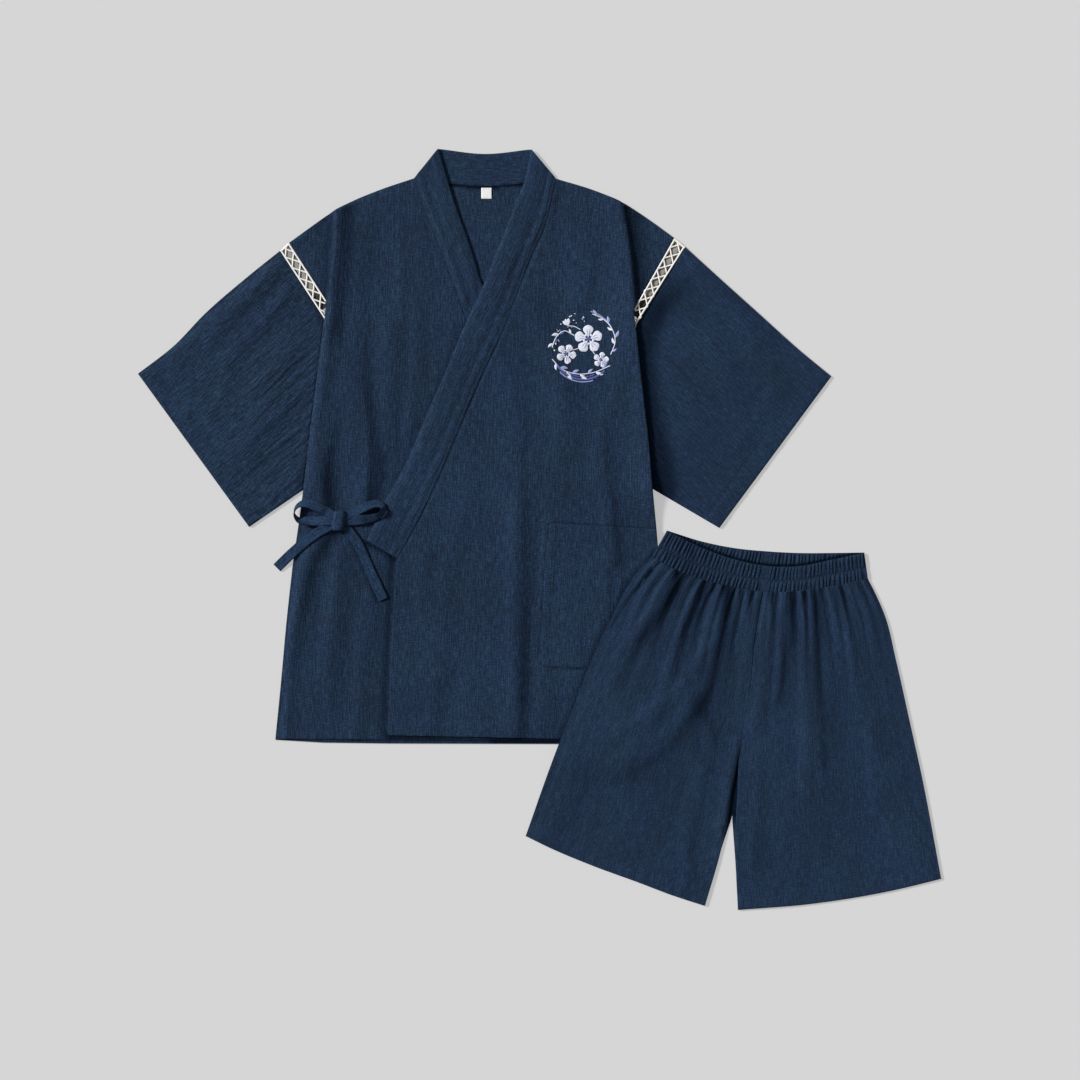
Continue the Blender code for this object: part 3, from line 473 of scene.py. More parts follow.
# %% [markdown]
# ## Crinkled navy cotton
# The yarn is thicker in places, in the warp and in the weft, so the cloth shows short streaks both ways like linen.
# Crinkling adds fine ridges along the warp, and the dye drifts between blue and slate. The same noises drive the colour
# and the bump, because a thick yarn stands up and is also paler. The shorts and the right sleeve are of a smoother
# piece of it, and the left sleeve of a rougher one.

# %% Crinkled navy cotton
def add_node(tree, kind, **settings):
    made = tree.nodes.new(kind)
    for key, value in settings.items():
        setattr(made, key, value)
    return made


def cloth_noise(tree, source, across, along, detail=1.0, seed=0.0):
    """Noise with the given size, in millimetres, across and along the warp."""
    sized = add_node(tree, "ShaderNodeMapping")
    sized.inputs["Scale"].default_value = (1 / (across * MM), 1 / (along * MM), 1)
    sized.inputs["Location"].default_value = (seed, seed * 1.7, seed * 0.3)
    noise = add_node(tree, "ShaderNodeTexNoise", noise_dimensions="2D")
    noise.inputs["Scale"].default_value = 1
    noise.inputs["Detail"].default_value = detail
    noise.inputs["Roughness"].default_value = 0.5
    tree.links.new(source, sized.inputs["Vector"])
    tree.links.new(sized.outputs["Vector"], noise.inputs["Vector"])
    return noise.outputs["Fac"]


def weighted(tree, terms, constant=0.0):
    """The sum of values times weights."""
    total = None
    for value, weight in terms:
        step = add_node(tree, "ShaderNodeMath", operation="MULTIPLY_ADD")
        tree.links.new(value, step.inputs[0])
        step.inputs[1].default_value = weight
        if total is None:
            step.inputs[2].default_value = constant
        else:
            tree.links.new(total, step.inputs[2])
        total = step.outputs[0]
    return total


def ramp(tree, value, stops):
    """Colours at places from 0 to 1."""
    made = add_node(tree, "ShaderNodeValToRGB")
    while len(made.color_ramp.elements) < len(stops):
        made.color_ramp.elements.new(0.5)
    for element, (place, colour) in zip(made.color_ramp.elements, stops):
        element.position, element.color = place, (*colour, 1)
    tree.links.new(value, made.inputs["Fac"])
    return made.outputs["Color"]


def paint_shade(tree, shader, colour, dark, specular):
    """Links the shader's colour and shine, with less of both as painted shade where no light gets in, and returns
    that shade.
    """
    shade_value = add_node(tree, "ShaderNodeAttribute", attribute_name="painted_shade").outputs["Fac"]
    deep = add_node(tree, "ShaderNodeMix", data_type="RGBA")
    deep.inputs["B"].default_value = (*dark, 1)
    tree.links.new(shade_value, deep.inputs["Factor"])
    tree.links.new(colour, deep.inputs["A"])
    tree.links.new(deep.outputs["Result"], shader.inputs["Base Color"])
    tree.links.new(weighted(tree, [(shade_value, -specular)], specular), shader.inputs["Specular IOR Level"])
    return shade_value


def raise_threads(tree, shader, height, strength, distance):
    raised = add_node(tree, "ShaderNodeBump")
    raised.inputs["Strength"].default_value = strength
    raised.inputs["Distance"].default_value = distance
    tree.links.new(height, raised.inputs["Height"])
    tree.links.new(raised.outputs["Normal"], shader.inputs["Normal"])


Yarn = namedtuple("Yarn", "across along seed tone height")  # mm, mm, and the weights in the colour and in the bump
YARNS = (
    Yarn(2.6, 22, 3, 0.3, 0.6),  # ridges of the crinkle
    Yarn(1.6, 12, 11, 0.82, 0.4),  # warp
    Yarn(9, 1.3, 23, 0.68, 0.35),  # weft
    Yarn(1.7, 1.7, 31, 0.9, 0.35),  # specks
)
CLOUD_TONE, MEAN_TONE, SHEEN = 0.3, 0.5, 0.12
# Places from 0 to 1 in the tone, and their colours, where the dye is bluer and where it is more of a slate
BLUES = (0.15, (0.0016, 0.0075, 0.0242)), (0.5, (0.0042, 0.0183, 0.0505)), (0.85, (0.0146, 0.0408, 0.0910))
SLATES = (0.15, (0.0017, 0.0080, 0.0232)), (0.5, (0.0044, 0.0191, 0.0482)), (0.85, (0.0154, 0.0428, 0.0875))
# The colour that painted shade darkens the cotton towards
COTTON_SHADE_COLOUR = (0.0006, 0.0020, 0.0052)


def crinkled_cotton(name, bump=0.75, light=1.0, grain=1.0):
    """light multiplies the colours, to paint a piece lighter as painted light. grain tells how much the yarns differ,
    and leaves the mean tone as it is.
    """
    material = plain_material(name, (0.02, 0.04, 0.09), 0.88)
    tree = material.node_tree
    shader = tree.nodes["Principled BSDF"]
    shader.inputs["Sheen Roughness"].default_value = 0.5
    shader.inputs["Sheen Tint"].default_value = (0.55, 0.65, 0.85, 1)
    cloth = add_node(tree, "ShaderNodeUVMap", uv_map="cloth").outputs["UV"]
    noises = [cloth_noise(tree, cloth, yarn.across, yarn.along, 1.0, yarn.seed) for yarn in YARNS]
    cloud = cloth_noise(tree, cloth, 90, 130, 2.0, 47)
    tones = [(noise, yarn.tone * grain) for noise, yarn in zip(noises, YARNS)] + [(cloud, CLOUD_TONE)]
    tone = weighted(tree, tones, MEAN_TONE - sum(weight for _, weight in tones) / 2)
    blue, slate = (
        ramp(tree, tone, [(place, tuple(light * part for part in colour)) for place, colour in stops])
        for stops in (BLUES, SLATES)
    )
    drift = add_node(tree, "ShaderNodeMapRange")
    drift.inputs["From Min"].default_value, drift.inputs["From Max"].default_value = 0.4, 0.62
    tree.links.new(cloth_noise(tree, cloth, 60, 90, 2.0, 59), drift.inputs["Value"])
    mixed = add_node(tree, "ShaderNodeMix", data_type="RGBA")
    tree.links.new(drift.outputs["Result"], mixed.inputs["Factor"])
    tree.links.new(blue, mixed.inputs["A"])
    tree.links.new(slate, mixed.inputs["B"])
    # Painted shade: colour, shine and sheen grow darker where a piece's painted-shade attribute is high
    shade_value = paint_shade(tree, shader, mixed.outputs["Result"], COTTON_SHADE_COLOUR, 0.25)
    tree.links.new(weighted(tree, [(shade_value, -SHEEN)], SHEEN), shader.inputs["Sheen Weight"])
    height = weighted(tree, [(noise, yarn.height) for noise, yarn in zip(noises, YARNS)])
    raise_threads(tree, shader, height, bump, 0.0011)
    return material


NAVY = crinkled_cotton("crinkled_navy_cotton")
SMOOTH_NAVY = crinkled_cotton("smoother_navy_cotton", bump=0.6, grain=0.74)
ROUGH_NAVY = crinkled_cotton("rougher_navy_cotton", bump=0.85, grain=1.2)
# The tie's cotton is painted lighter: painted light, as the narrow tube catches more of it
TIE_NAVY = crinkled_cotton("navy_cotton_painted_lighter", bump=0.5, light=1.26)
print("cotton nodes:", len(NAVY.node_tree.nodes))

# %% [markdown]
# ## The jacket's outlines
# The tables give the jacket in its own frame: x from the middle of the neck and y up from the hem, as its solids were
# cut. A row has a point on each of the two edges that a panel is ruled between.

# %% The jacket's outlines
JACKET_AT = (-73.4, -287.1)
CLOTH, SEAM_GAP, SLANT_SHIFT = 1.4, 0.3, 0.4
LEVEL_1 = CLOTH + SEAM_GAP  # where the second layer of cloth rests, and where the third does
LEVEL_2 = LEVEL_1 + CLOTH + SEAM_GAP

LEFT_LACE_TOP_IN, LEFT_LACE_LOW_IN = (-264.6, 673.7), (-214.2, 595.8)
LEFT_LACE_TOP_OUT, LEFT_LACE_LOW_OUT = (-276.8, 662.9), (-217.1, 571.3)
RIGHT_LACE_TOP_IN, RIGHT_LACE_LOW_IN = (255.2, 680.0), (200.2, 583.3)
RIGHT_LACE_TOP_OUT, RIGHT_LACE_LOW_OUT = (269.9, 668.1), (202.6, 561.6)
LEFT_BACK_LACE_TOP_IN, LEFT_BACK_LACE_TOP_OUT = (-254.1, 681.3), (-266.8, 671.4)
RIGHT_BACK_LACE_TOP_IN, RIGHT_BACK_LACE_TOP_OUT = (244.7, 687.7), (259.6, 676.0)
LEFT_SHOULDER = ((-95.9, 760.7), (-141.8, 745.2), (-185.6, 726.6), (-209.3, 713.1), (-238.0, 693.0), LEFT_LACE_TOP_IN)
RIGHT_SHOULDER = ((95.9, 760.0), (147.6, 744.0), (187.7, 726.3), (205.2, 715.5), (231.4, 697.5), RIGHT_LACE_TOP_IN)
BACK_NECK = ((-95.9, 760.7), (-48.9, 752.6), (0.0, 749.3), (47.3, 752.6), (95.9, 760.0))


def table(columns, *rows):
    """Rows whose columns have names."""
    row_type = namedtuple("Row", columns)
    return [row_type(*row) for row in rows]


OVER_FRONT = table(
    "edge_x edge_y side_x side_y pocket",
    (-132.0, 9.5, 260.6, 1.4, 0.525),
    (-129.5, 62.0, 255.6, 48.0, 0.526),
    (-127.0, 112.5, 250.6, 94.9, 0.528),
    (-123.8, 180.0, 243.2, 165.0, 0.545),
    (-118.8, 248.1, 235.2, 234.0, 0.562),
    (-87.5, 305.5, 230.9, 287.6, 0.545),
    (-55.4, 374.0, 225.5, 345.0, 0.535),
    (-31.9, 430.7, 219.6, 413.0, 0.520),
    (-8.6, 486.0, 213.8, 465.0, 0.505),
    (11.6, 529.2, 208.2, 515.0, 0.500),
    (28.4, 567.0, *RIGHT_LACE_LOW_OUT, 0.497),
    (43.2, 604.8, *RIGHT_LACE_LOW_IN, 0.489),
    (60.8, 650.7, 221.0, 619.9, 0.460),
    (81.0, 696.6, 240.0, 653.3, 0.430),
    (95.9, 760.0, *RIGHT_LACE_TOP_IN, 0.400),
)
OVER_CORNERS = (4, 10, 11)  # where the collar ends, and the ends of the lace's foot
POCKET_LOW, POCKET_HIGH = 2, 5
TOUCH = 0.08  # pieces sewn together leave only this much between them
UNDER_FRONT = table(
    "side_x side_y edge_x edge_y",
    (-283.1, 4.6, 131.0, 1.0),
    (-276.2, 74.0, 128.5, 70.0),
    (-268.1, 162.5, 125.0, 150.0),
    (-259.9, 238.0, 118.8, 248.1),
    (-250.0, 307.0, 87.5, 305.5),
    (-243.2, 360.0, 55.4, 374.0),
    (-235.6, 425.0, 31.9, 430.7),
    (-228.5, 482.0, 8.6, 486.0),
    (-222.2, 532.0, -11.6, 529.2),
    (*LEFT_LACE_LOW_OUT, -28.4, 575.0),
    (*LEFT_LACE_LOW_IN, -45.9, 625.0),
    (-231.0, 621.8, -66.2, 680.0),
    (-248.0, 648.0, -83.7, 723.6),
    (*LEFT_LACE_TOP_IN, -95.9, 760.7),
)
UNDER_CORNERS = (3, 9, 10)
UNDER_REACH = table(
    "y x", (-20, 134), (240, 128), (262, 161), (273, 163), (329, 137), (369, 115), (440, 84), (511, 53),
    (564, 32), (616, 2), (640, -30), (700, -140), (800, -320),
)


def column(rows, name):
    return np.array([getattr(row, name) for row in rows])


def read(rows, at, key, value):
    return np.interp(at, column(rows, key), column(rows, value))


def apart(points, x_shift):
    """A seam line moved sideways, clear of the piece that it is sewn to."""
    return np.array(points) + (x_shift, 0)


def on_jacket(plan):
    return placed(plan, JACKET_AT)


def stitch_along(name, plan, edge, distance, skipped=0, lay=on_jacket):
    """Notes a row of stitches for later, at a distance inside one edge of a piece's grid."""
    stitch_lines.append((name, lay(line_inside(plan, edge, distance)[skipped:])))


print("rows:", len(OVER_FRONT), len(UNDER_FRONT))

# %% [markdown]
# ## The fronts and the pocket
# The large folds are those of the solids: a bulge along each side where the cloth turns to the back, and soft falls
# from the shoulders and the tie. Finer creases are placed around them, none alike. Where the front on top
# covers the other, the lower one stays smooth, so that the two don't cut each other.

# %% Folds of the fronts
OVER_FOLDS = crease_rows(
    (2.0, 15, 15, 1, 1, (188, 722), (193.9, 674), (199.5, 583), (208.2, 515), (214, 465), (225.5, 345)),
    (0.9, 12, 12, 1, 1, (225.5, 345), (231, 287), (236, 234)),
    (1.8, 11, 11, 1, 1, (42, 320), (40, 200), (41, 60)),
    (1.3, 10, 10, 1, 1, (86, 270), (77, 180), (73, 60), (73, 20)),
    (1.6, 15, 15, 1, 1, (60, 600), (96, 500), (110, 400)),
    (1.4, 16, 16, 1, 1, (190, 540), (165, 430), (150, 360)),
    (1.2, 14, 14, 1, 1, (-20, 350), (-55, 200), (-60, 90)),
)
UNDER_FOLDS = crease_rows(
    (2.0, 15, 15, 1, 1,
        (-207, 706), (-202.5, 671), (-213, 596), (-217.6, 556), (-226, 502), (-239.6, 391), (-247.7, 340),
    ),
    (0.9, 13, 13, 1, 1, (-247.7, 340), (-259.9, 238), (-276, 74), (-282, 10)),
    (2.2, 15, 15, 1, 1, (-168, 700), (-176, 560), (-182, 460), (-186, 380)),
    (2.0, 14, 14, 1, 1, (-128, 560), (-132, 440), (-150, 350)),
    (1.5, 13, 13, 1, 1, (-206, 232), (-212, 150), (-220, 90)),
    (1.2, 12, 12, 1, 1, (-160, 190), (-166, 110), (-168, 30)),
)
OVER_CREASES = crease_rows(
    (
        4.4, 34, 4.5, 1, 1,
        (184, 722), (190, 690), (196, 645), (201, 590), (206, 515), (213, 460), (219, 410), (225, 345)
    ),
    (2.6, 22, 6, 1, 0.4, (225, 345), (230, 290), (236, 234)),
    (2.0, 30, 12, 0.3, 1, (37, 450), (40, 380), (42, 300), (43, 200), (41, 100), (38, 0)),
    (-0.9, 9, 12, 0.5, 1, (60, 400), (62, 300), (61, 180), (62, 60)),
    (1.9, 16, 7, 0.3, 1, (153, 440), (160, 360), (169, 310), (175, 250)),
    (1.2, 12, 12, 1, 0.3, (-84, 250), (-86, 180), (-84, 100)),
    (1.1, 16, 10, 0.3, 1, (-66, 170), (-68, 100), (-72, 20)),
    (0.8, 14, 12, 0.2, 1, (-18, 200), (-22, 110), (-26, 20)),
    (1.3, 16, 12, 0.4, 1, (128, 740), (134, 650), (128, 590)),
    (0.9, 14, 10, 1, 0.2, (30, 500), (50, 430), (62, 360)),
    (0.8, 12, 12, 0.3, 1, (95, 470), (100, 430), (98, 380)),
    (0.7, 9, 8, 0, 1, (112, 100), (116, 50), (116, 6)),
    (-0.6, 8, 8, 0.2, 1, (150, 110), (158, 60), (160, 6)),
    (0.8, 14, 9, 1, 0.2, (110, 480), (128, 450), (148, 430)),
    (-1.2, 4, 6, 0.6, 1, (72, 300), (70, 200), (66, 110)),
)
UNDER_CREASES = crease_rows(
    (3.7, 6, 15, 1, 0.8, (-200, 718), (-200, 690), (-203, 650), (-208, 600), (-214, 562)),
    (1.9, 10, 20, 1, 1, (-213, 560), (-222, 502), (-235, 400), (-243, 345)),
    (-2.2, 7, 7, 1, 0.2, (-216, 710), (-228, 685), (-244, 655)),
    (3.2, 22, 8, 0.2, 1, (-162, 570), (-166, 500), (-162, 440), (-159, 400), (-163, 322)),
    (3.0, 14, 9, 0.1, 1, (-196, 480), (-212, 405), (-221, 352), (-221, 322)),
    (1.3, 10, 10, 0.4, 1, (-92, 600), (-94, 500), (-103, 420)),
    (3.8, 12, 11, 1, 0.3, (-212, 286), (-236, 242), (-249, 190), (-261, 140), (-271, 95)),
    (1.8, 12, 13, 1, 0.4, (-195, 255), (-200, 190), (-206, 130), (-212, 60)),
    (1.1, 14, 12, 0.5, 1, (-170, 140), (-173, 70), (-176, 10)),
    (1.2, 8, 8, 0.5, 1, (-260, 95), (-266, 50), (-270, 10)),
    (-1.8, 4, 3, 1, 0, (-104, 760), (-101, 742)),
    (0.9, 9, 8, 0.3, 1, (-118, 705), (-116, 650), (-112, 600)),
    (-0.9, 6, 4, 0.5, 1, (-146, 262), (-125, 249), (-124, 248)),
    (-1.0, 5, 3, 1, 1, (-122, 246), (-126, 170), (-131, 90), (-135, 12)),
    (0.7, 8, 8, 1, 0.3, (-150, 240), (-152, 180), (-150, 120)),
)
# Where folds and edges keep the light out: how dark, with widths, ends and paths as for creases.
OVER_SHADES = crease_rows(
    (0.66, 5, 18, 1, 0.9, (189, 722), (195, 690), (201, 645), (206, 600), (209, 560)),
    (0.36, 6, 11, 0.2, 1, (54, 440), (57, 300), (58, 200), (53, 100), (50, 0)),
    (0.16, 14, 10, 0, 1, (84, 150), (94, 80), (102, 0)),
    (0.18, 10, 10, 0.2, 1, (164, 440), (170, 350), (178, 290), (186, 240)),
    (0.36, 1.5, 6, 1, 0, (97, 757), (94, 735), (86, 705), (78, 685)),
    (
        0.46, 6, 3.5, 1, 0.7,
        (228, 256), (209, 234.8), (192.1, 212), (169.3, 167.5), (138, 101.0), (120.6, 49), (98.8, -3)
    ),
)
UNDER_SHADES = crease_rows(
    (0.45, 15, 3, 1, 1, (-207, 720), (-207, 690), (-210, 650), (-214, 610), (-217, 585)),
    (0.34, 8, 12, 1, 0.4, (-184, 718), (-182, 670), (-187, 620), (-194, 560), (-178, 490)),
    (0.48, 8, 8, 0.2, 1, (-160, 530), (-155, 470), (-147, 410), (-143, 365), (-149, 322)),
    (0.52, 8, 11, 0.2, 1, (-194, 460), (-205, 405), (-213, 362), (-207, 322)),
    (0.40, 9, 13, 1, 0.2, (-212, 284), (-236, 245), (-245, 190), (-255, 130), (-262, 90)),
    (0.30, 7, 5, 0.6, 1, (-164, 268), (-137, 326), (-114, 366), (-83, 438), (-52, 509), (-31, 562)),
    (0.62, 8, 3, 1, 0.8, (-125, 245), (-129, 170), (-133, 90), (-135, 12)),
    (0.75, 4.5, 2, 1, 1, (-160, 270), (-140, 259.5), (-120, 248.5)),
    (0.62, 4.5, 2, 0.7, 1, (-183, 272), (-169.5, 246.4), (-158, 220), (-144.2, 190)),
)
HEM_HEIGHT = 24
FRONT_CRINKLE, OVER_CREASING, UNDER_CREASING = 1.3, 1.15, 1.4  # gains on the tables above
# Where the front beneath grows smooth, because the other one covers it
COVERED = table("y start full", (0, -150, -134), (250, -150, -134), (275, -170, -150), (560, -40, -20), (700, -60, -45))


def over_front_rest(plan):
    """The front on top lies on the other front and its collar as far as they reach, then on the back."""
    past = plan[..., 0] - read(UNDER_REACH, plan[..., 1], "y", "x")
    return LEVEL_2 + (LEVEL_1 - LEVEL_2) * ease(past, 26, 76)


def hem_relief(away, height=HEM_HEIGHT):
    """A turned hem is thicker up to its stitching, which pulls it down in a narrow groove."""
    return 0.22 * (1 - ease(away, height - 1.2, height + 0.6)) - 0.3 * bell(away, height, 1.8)


def hem_shadow(plan):
    """Painted shadow close under the hem of the front on top, and less so below it, where the cloth lies open."""
    below = (1 - ease(plan[..., 1], -2, 8)) * (1 - ease(plan[..., 0], -10, 16))
    return 0.78 * (1 - 0.85 * below) * (1 - ease(plan[..., 1], 12, 22))


def over_front_under(plan):
    return over_front_rest(plan) + creased(plan, OVER_FOLDS)


def over_front_over(plan):
    relief = OVER_CREASING * creased(plan, OVER_CREASES) + FRONT_CRINKLE * crinkle(plan, 5)
    return over_front_under(plan) + CLOTH + relief


def over_plan(first_row=None, last_row=None, from_pocket=False):
    """The grid of the front on top, or of the pocket's part of it."""
    rows, knots, at = filled_rows(OVER_FRONT, OVER_CORNERS)
    if from_pocket:
        at = knots[first_row] + places(knots[last_row] - knots[first_row])
        rows = smooth_through(knots, [tuple(r) for r in OVER_FRONT], at, OVER_CORNERS)
    edge, side, share = apart(rows[:, :2], TOUCH), rows[:, 2:4], rows[:, 4:5]
    width = mean_width(edge, side)
    if not from_pocket:
        return ruled(edge, side, places(width) / width, high=[edge[-1], *RIGHT_SHOULDER[1:]])
    inner = edge * (1 - share) + side * share
    width = mean_width(inner, side)
    return ruled(inner, side, places(width) / width)


POCKET_TOP = ((240, 286.5), (160, 291.6), (86.0, 295.7))
POCKET_RIM = (
    (86.0, 295.7), (80.1, 240.2), (76.2, 171.8), (73, 116), (75.8, 106.4), (83.5, 102.8), (150, 100.3), (250, 95),
)
plan = over_plan()
away = from_edges(plan)
over = over_front_over(plan) + hem_relief(away[0])
past_collar = ease(plan[..., 1], 235, 262)
over -= (0.25 * bell(away[2], 0, 2.6) - 0.35 * bell(away[2], 6, 4)) * past_collar
# Painted shade: in hollows, along the listed shades, round the pocket and in the collar seam
painted_shade = np.maximum(hollow_shade(over), creased(plan, OVER_SHADES))
painted_shade = np.maximum(painted_shade, np.maximum(shade_along_edge(plan, POCKET_RIM, 0.55, 1.5), shade_along_edge(plan, POCKET_TOP, 0.72, 1.6)))
collar_seam_shade = 0.6 * bell(away[2], 0, 1.5) * past_collar * (1 - 0.8 * ease(plan[..., 1], 480, 620))
painted_shade = np.maximum(painted_shade, collar_seam_shade)
over -= rounded(plan, [(0.9, 3), (0.6, 2.4), (0.35, 1.4), (0.5, 1.6)])
stitch_along("front_left_over_cloth", plan, 0, HEM_HEIGHT)
shell("front_left_over_cloth", on_jacket(plan), over_front_under(plan), over, plan, NAVY, LEVEL_1, painted_shade)

rows, _, _ = filled_rows(UNDER_FRONT, UNDER_CORNERS)
side, edge = rows[:, :2], apart(rows[:, 2:4], -TOUCH)
width = mean_width(side, edge)
plan = ruled(side, edge, places(width) / width, high=[*LEFT_SHOULDER[::-1][:-1], edge[-1]])
away = from_edges(plan)
covered = ease(plan[..., 0], *(read(COVERED, plan[..., 1], "y", place) for place in ("start", "full")))
under = LEVEL_1 + creased(plan, UNDER_FOLDS)
relief = UNDER_CREASING * creased(plan, UNDER_CREASES) + FRONT_CRINKLE * crinkle(plan, 9) + hem_relief(away[0])
over = under + CLOTH + relief * (1 - covered)
# Painted shade: in hollows, along the listed shades, and under the hem of the front on top
painted_shade = np.maximum(hollow_shade(over), creased(plan, UNDER_SHADES))
painted_shade = np.maximum(painted_shade, hem_shadow(plan) * ease(plan[..., 0], -138, -131))
side_roll = (4.2 - 2.6 * ease(plan[..., 1], 590, 640)) * np.clip(1 - away[2] / 14, 0, 1) ** 2
over -= np.maximum(side_roll, rounded(plan, [(0.9, 3), (1.0, 4), (0.6, 2), (0.3, 1.4)]))
stitch_along("front_right_under_cloth", plan, 0, HEM_HEIGHT)
shell("front_right_under_cloth", on_jacket(plan), under, over, plan + (500, 0), NAVY, LEVEL_1, painted_shade)

POCKET_LIFT = CLOTH + SEAM_GAP
POCKET_ROUND, POCKET_STITCH, POCKET_HEM = 11.0, 4.5, 24
plan = over_plan(POCKET_LOW, POCKET_HIGH, from_pocket=True)
away = from_edges(plan)
inward = np.stack([np.clip(POCKET_ROUND - away[2], 0, None), np.clip(POCKET_ROUND - away[0], 0, None)], axis=-1)
too_far = np.clip(np.linalg.norm(inward, axis=-1) - POCKET_ROUND, 0, None)
reach = np.linalg.norm(inward, axis=-1, keepdims=True) + 1e-9
plan = plan + inward / reach * too_far[..., None]
under = over_front_under(plan) + POCKET_LIFT
over = over_front_over(plan) + POCKET_LIFT - 0.2 + 1.1 * crinkle(plan, 12)
over -= 0.4 * bell(np.minimum(away[0], away[2]), POCKET_STITCH, 1.6)
over -= 0.4 * bell(away[1], POCKET_HEM, 1.8)
# Painted shade in hollows and along the listed shades
painted_shade = np.maximum(hollow_shade(over), creased(plan, OVER_SHADES))
over -= rounded(plan, [(1.2, 3), (0.9, 3), (1.3, 4.5), (0.5, 1.6)])
for edge, distance, skipped in ((0, POCKET_STITCH, 4), (2, POCKET_STITCH, 4), (1, POCKET_HEM, 0)):
    stitch_along("pocket_cloth", plan, edge, distance, skipped)
over = np.maximum(over, under + 0.3)
shell("pocket_cloth", on_jacket(plan), under, over, plan * 1.02 + (31, 17), NAVY, LEVEL_1, painted_shade)
print({name: len(made.data.polygons) for name, made in pieces.items()})

# %% [markdown]
# ## The back, and the hem that shows below the front
# The back is hidden but for the inside of the neck and a thin strip under the front's hem. Its outline has many
# corners, which a ruled grid fits badly, so a constrained Delaunay filling is used.

# %% The back
right_side = filled_rows(OVER_FRONT, OVER_CORNERS, 12, (0, 6))[0][:, 2:4]
right_side = right_side[right_side[:, 1] <= RIGHT_LACE_LOW_OUT[1] + 0.01]
left_side = filled_rows(UNDER_FRONT, UNDER_CORNERS, 12, (0, 6))[0][:, :2]
left_side = left_side[left_side[:, 1] <= LEFT_LACE_LOW_OUT[1] + 0.01]
back_outline = np.vstack([
    right_side, [RIGHT_LACE_LOW_IN, RIGHT_BACK_LACE_TOP_IN],
    curve(RIGHT_SHOULDER[-2::-1], np.linspace(0, 1, 24))[:-1],
    curve(BACK_NECK[::-1], np.linspace(0, 1, 30)) - (0, TOUCH),
    curve(LEFT_SHOULDER[:-1], np.linspace(0, 1, 24))[1:],
    [LEFT_BACK_LACE_TOP_IN, LEFT_LACE_LOW_IN], left_side[::-1][:-1],
    [(-283.1, 3.0), (-218.7, -0.8), (-132.3, -2.0), (95.9, -2.6), (259.9, 0.0)],
])


def below_neck(own):
    """How far places on the back lie below its seam with the collar."""
    return np.interp(own[:, 0], [-100, -49, 0, 47, 100], [760, 752.6, 749.3, 752.6, 760]) - own[:, 1]


def back_over(flat):
    own = flat - JACKET_AT
    binding = 0.45 * bell(below_neck(own), 4.5, 2.0) - 0.35 * bell(below_neck(own), 9.0, 1.6)
    inside = ease(own[:, 1], 560, 600)
    return CLOTH - 0.12 + inside * (0.8 * crinkle(own, 15) + binding * (np.abs(own[:, 0]) < 90)) - 0.1 * (1 - inside)


def back_shade(flat):
    """Painted shade under the front's hem, and in the seam below the collar."""
    own = flat - JACKET_AT
    return np.maximum(hem_shadow(own), bell(below_neck(own), 0, 2.4) * (np.abs(own[:, 0]) < 92))


flat_shell(
    "back_panel_cloth", on_jacket(back_outline), 0.0, back_over, lambda flat: flat - JACKET_AT + (900, 0), NAVY,
    5.0, back_shade,
)

# %% [markdown]
# ## The collar
# The collar is one long band, folded double and cut along the warp, so its crinkle runs along it. It goes from the
# left front, round the neck and down the right front. Its free edge is a fold, rounder than a cut edge, and it is
# stitched close to the seam. The part behind the neck is a plate with a curved outline. The two long arms are ruled
# from the free edge to the seam.

# %% The collar
OVER_COLLAR_FREE = (
    (-159.6, 272.8), (-133.0, 329.4), (-110.7, 368.6), (-79.8, 440.1), (-48.7, 511.2), (-27.0, 564.3),
    (-2.8, 615.6), (13.2, 656.9), (31.9, 703.4), (37.7, 720.0), (50.4, 749.8), (62.1, 799.9),
)
UNDER_COLLAR_FREE = (
    *((-x, y) for x, y in OVER_COLLAR_FREE[:6]),  # the arms mirror each other as far as they cross
    (-3.4, 615.6), (-17.8, 660.2), (-33.3, 703.4), (-49.4, 752.6), (-63.5, 800.6),
)
COLLAR_BACK_TOP = ((-95.9, 760.7), (-63.5, 800.6), (0.0, 793.8), (62.1, 800.0), (95.9, 760.0))
OVER_COLLAR_REST = table(
    "y z thick", (248, 3.5, 2.4), (480, 3.7, 2.4), (545, 4.4, 2.4), (608, 4.4, 2.4), (640, 3.5, 2.4), (672, 2.6, 2.4),
    (715, 2.0, 2.4), (748, 2.5, 2.4), (801, 2.5, 2.4),
)
UNDER_COLLAR_REST = table(
    "y z thick", (248, 1.7, 1.4), (572, 1.77, 1.4), (612, 1.78, 2.4), (715, 1.8, 2.4), (748, 2.5, 2.4),
    (801, 2.5, 2.4),
)
COLLAR_STITCH = 3.5  # mm from the seam
BACK_COLLAR_CLOTH = 2.2


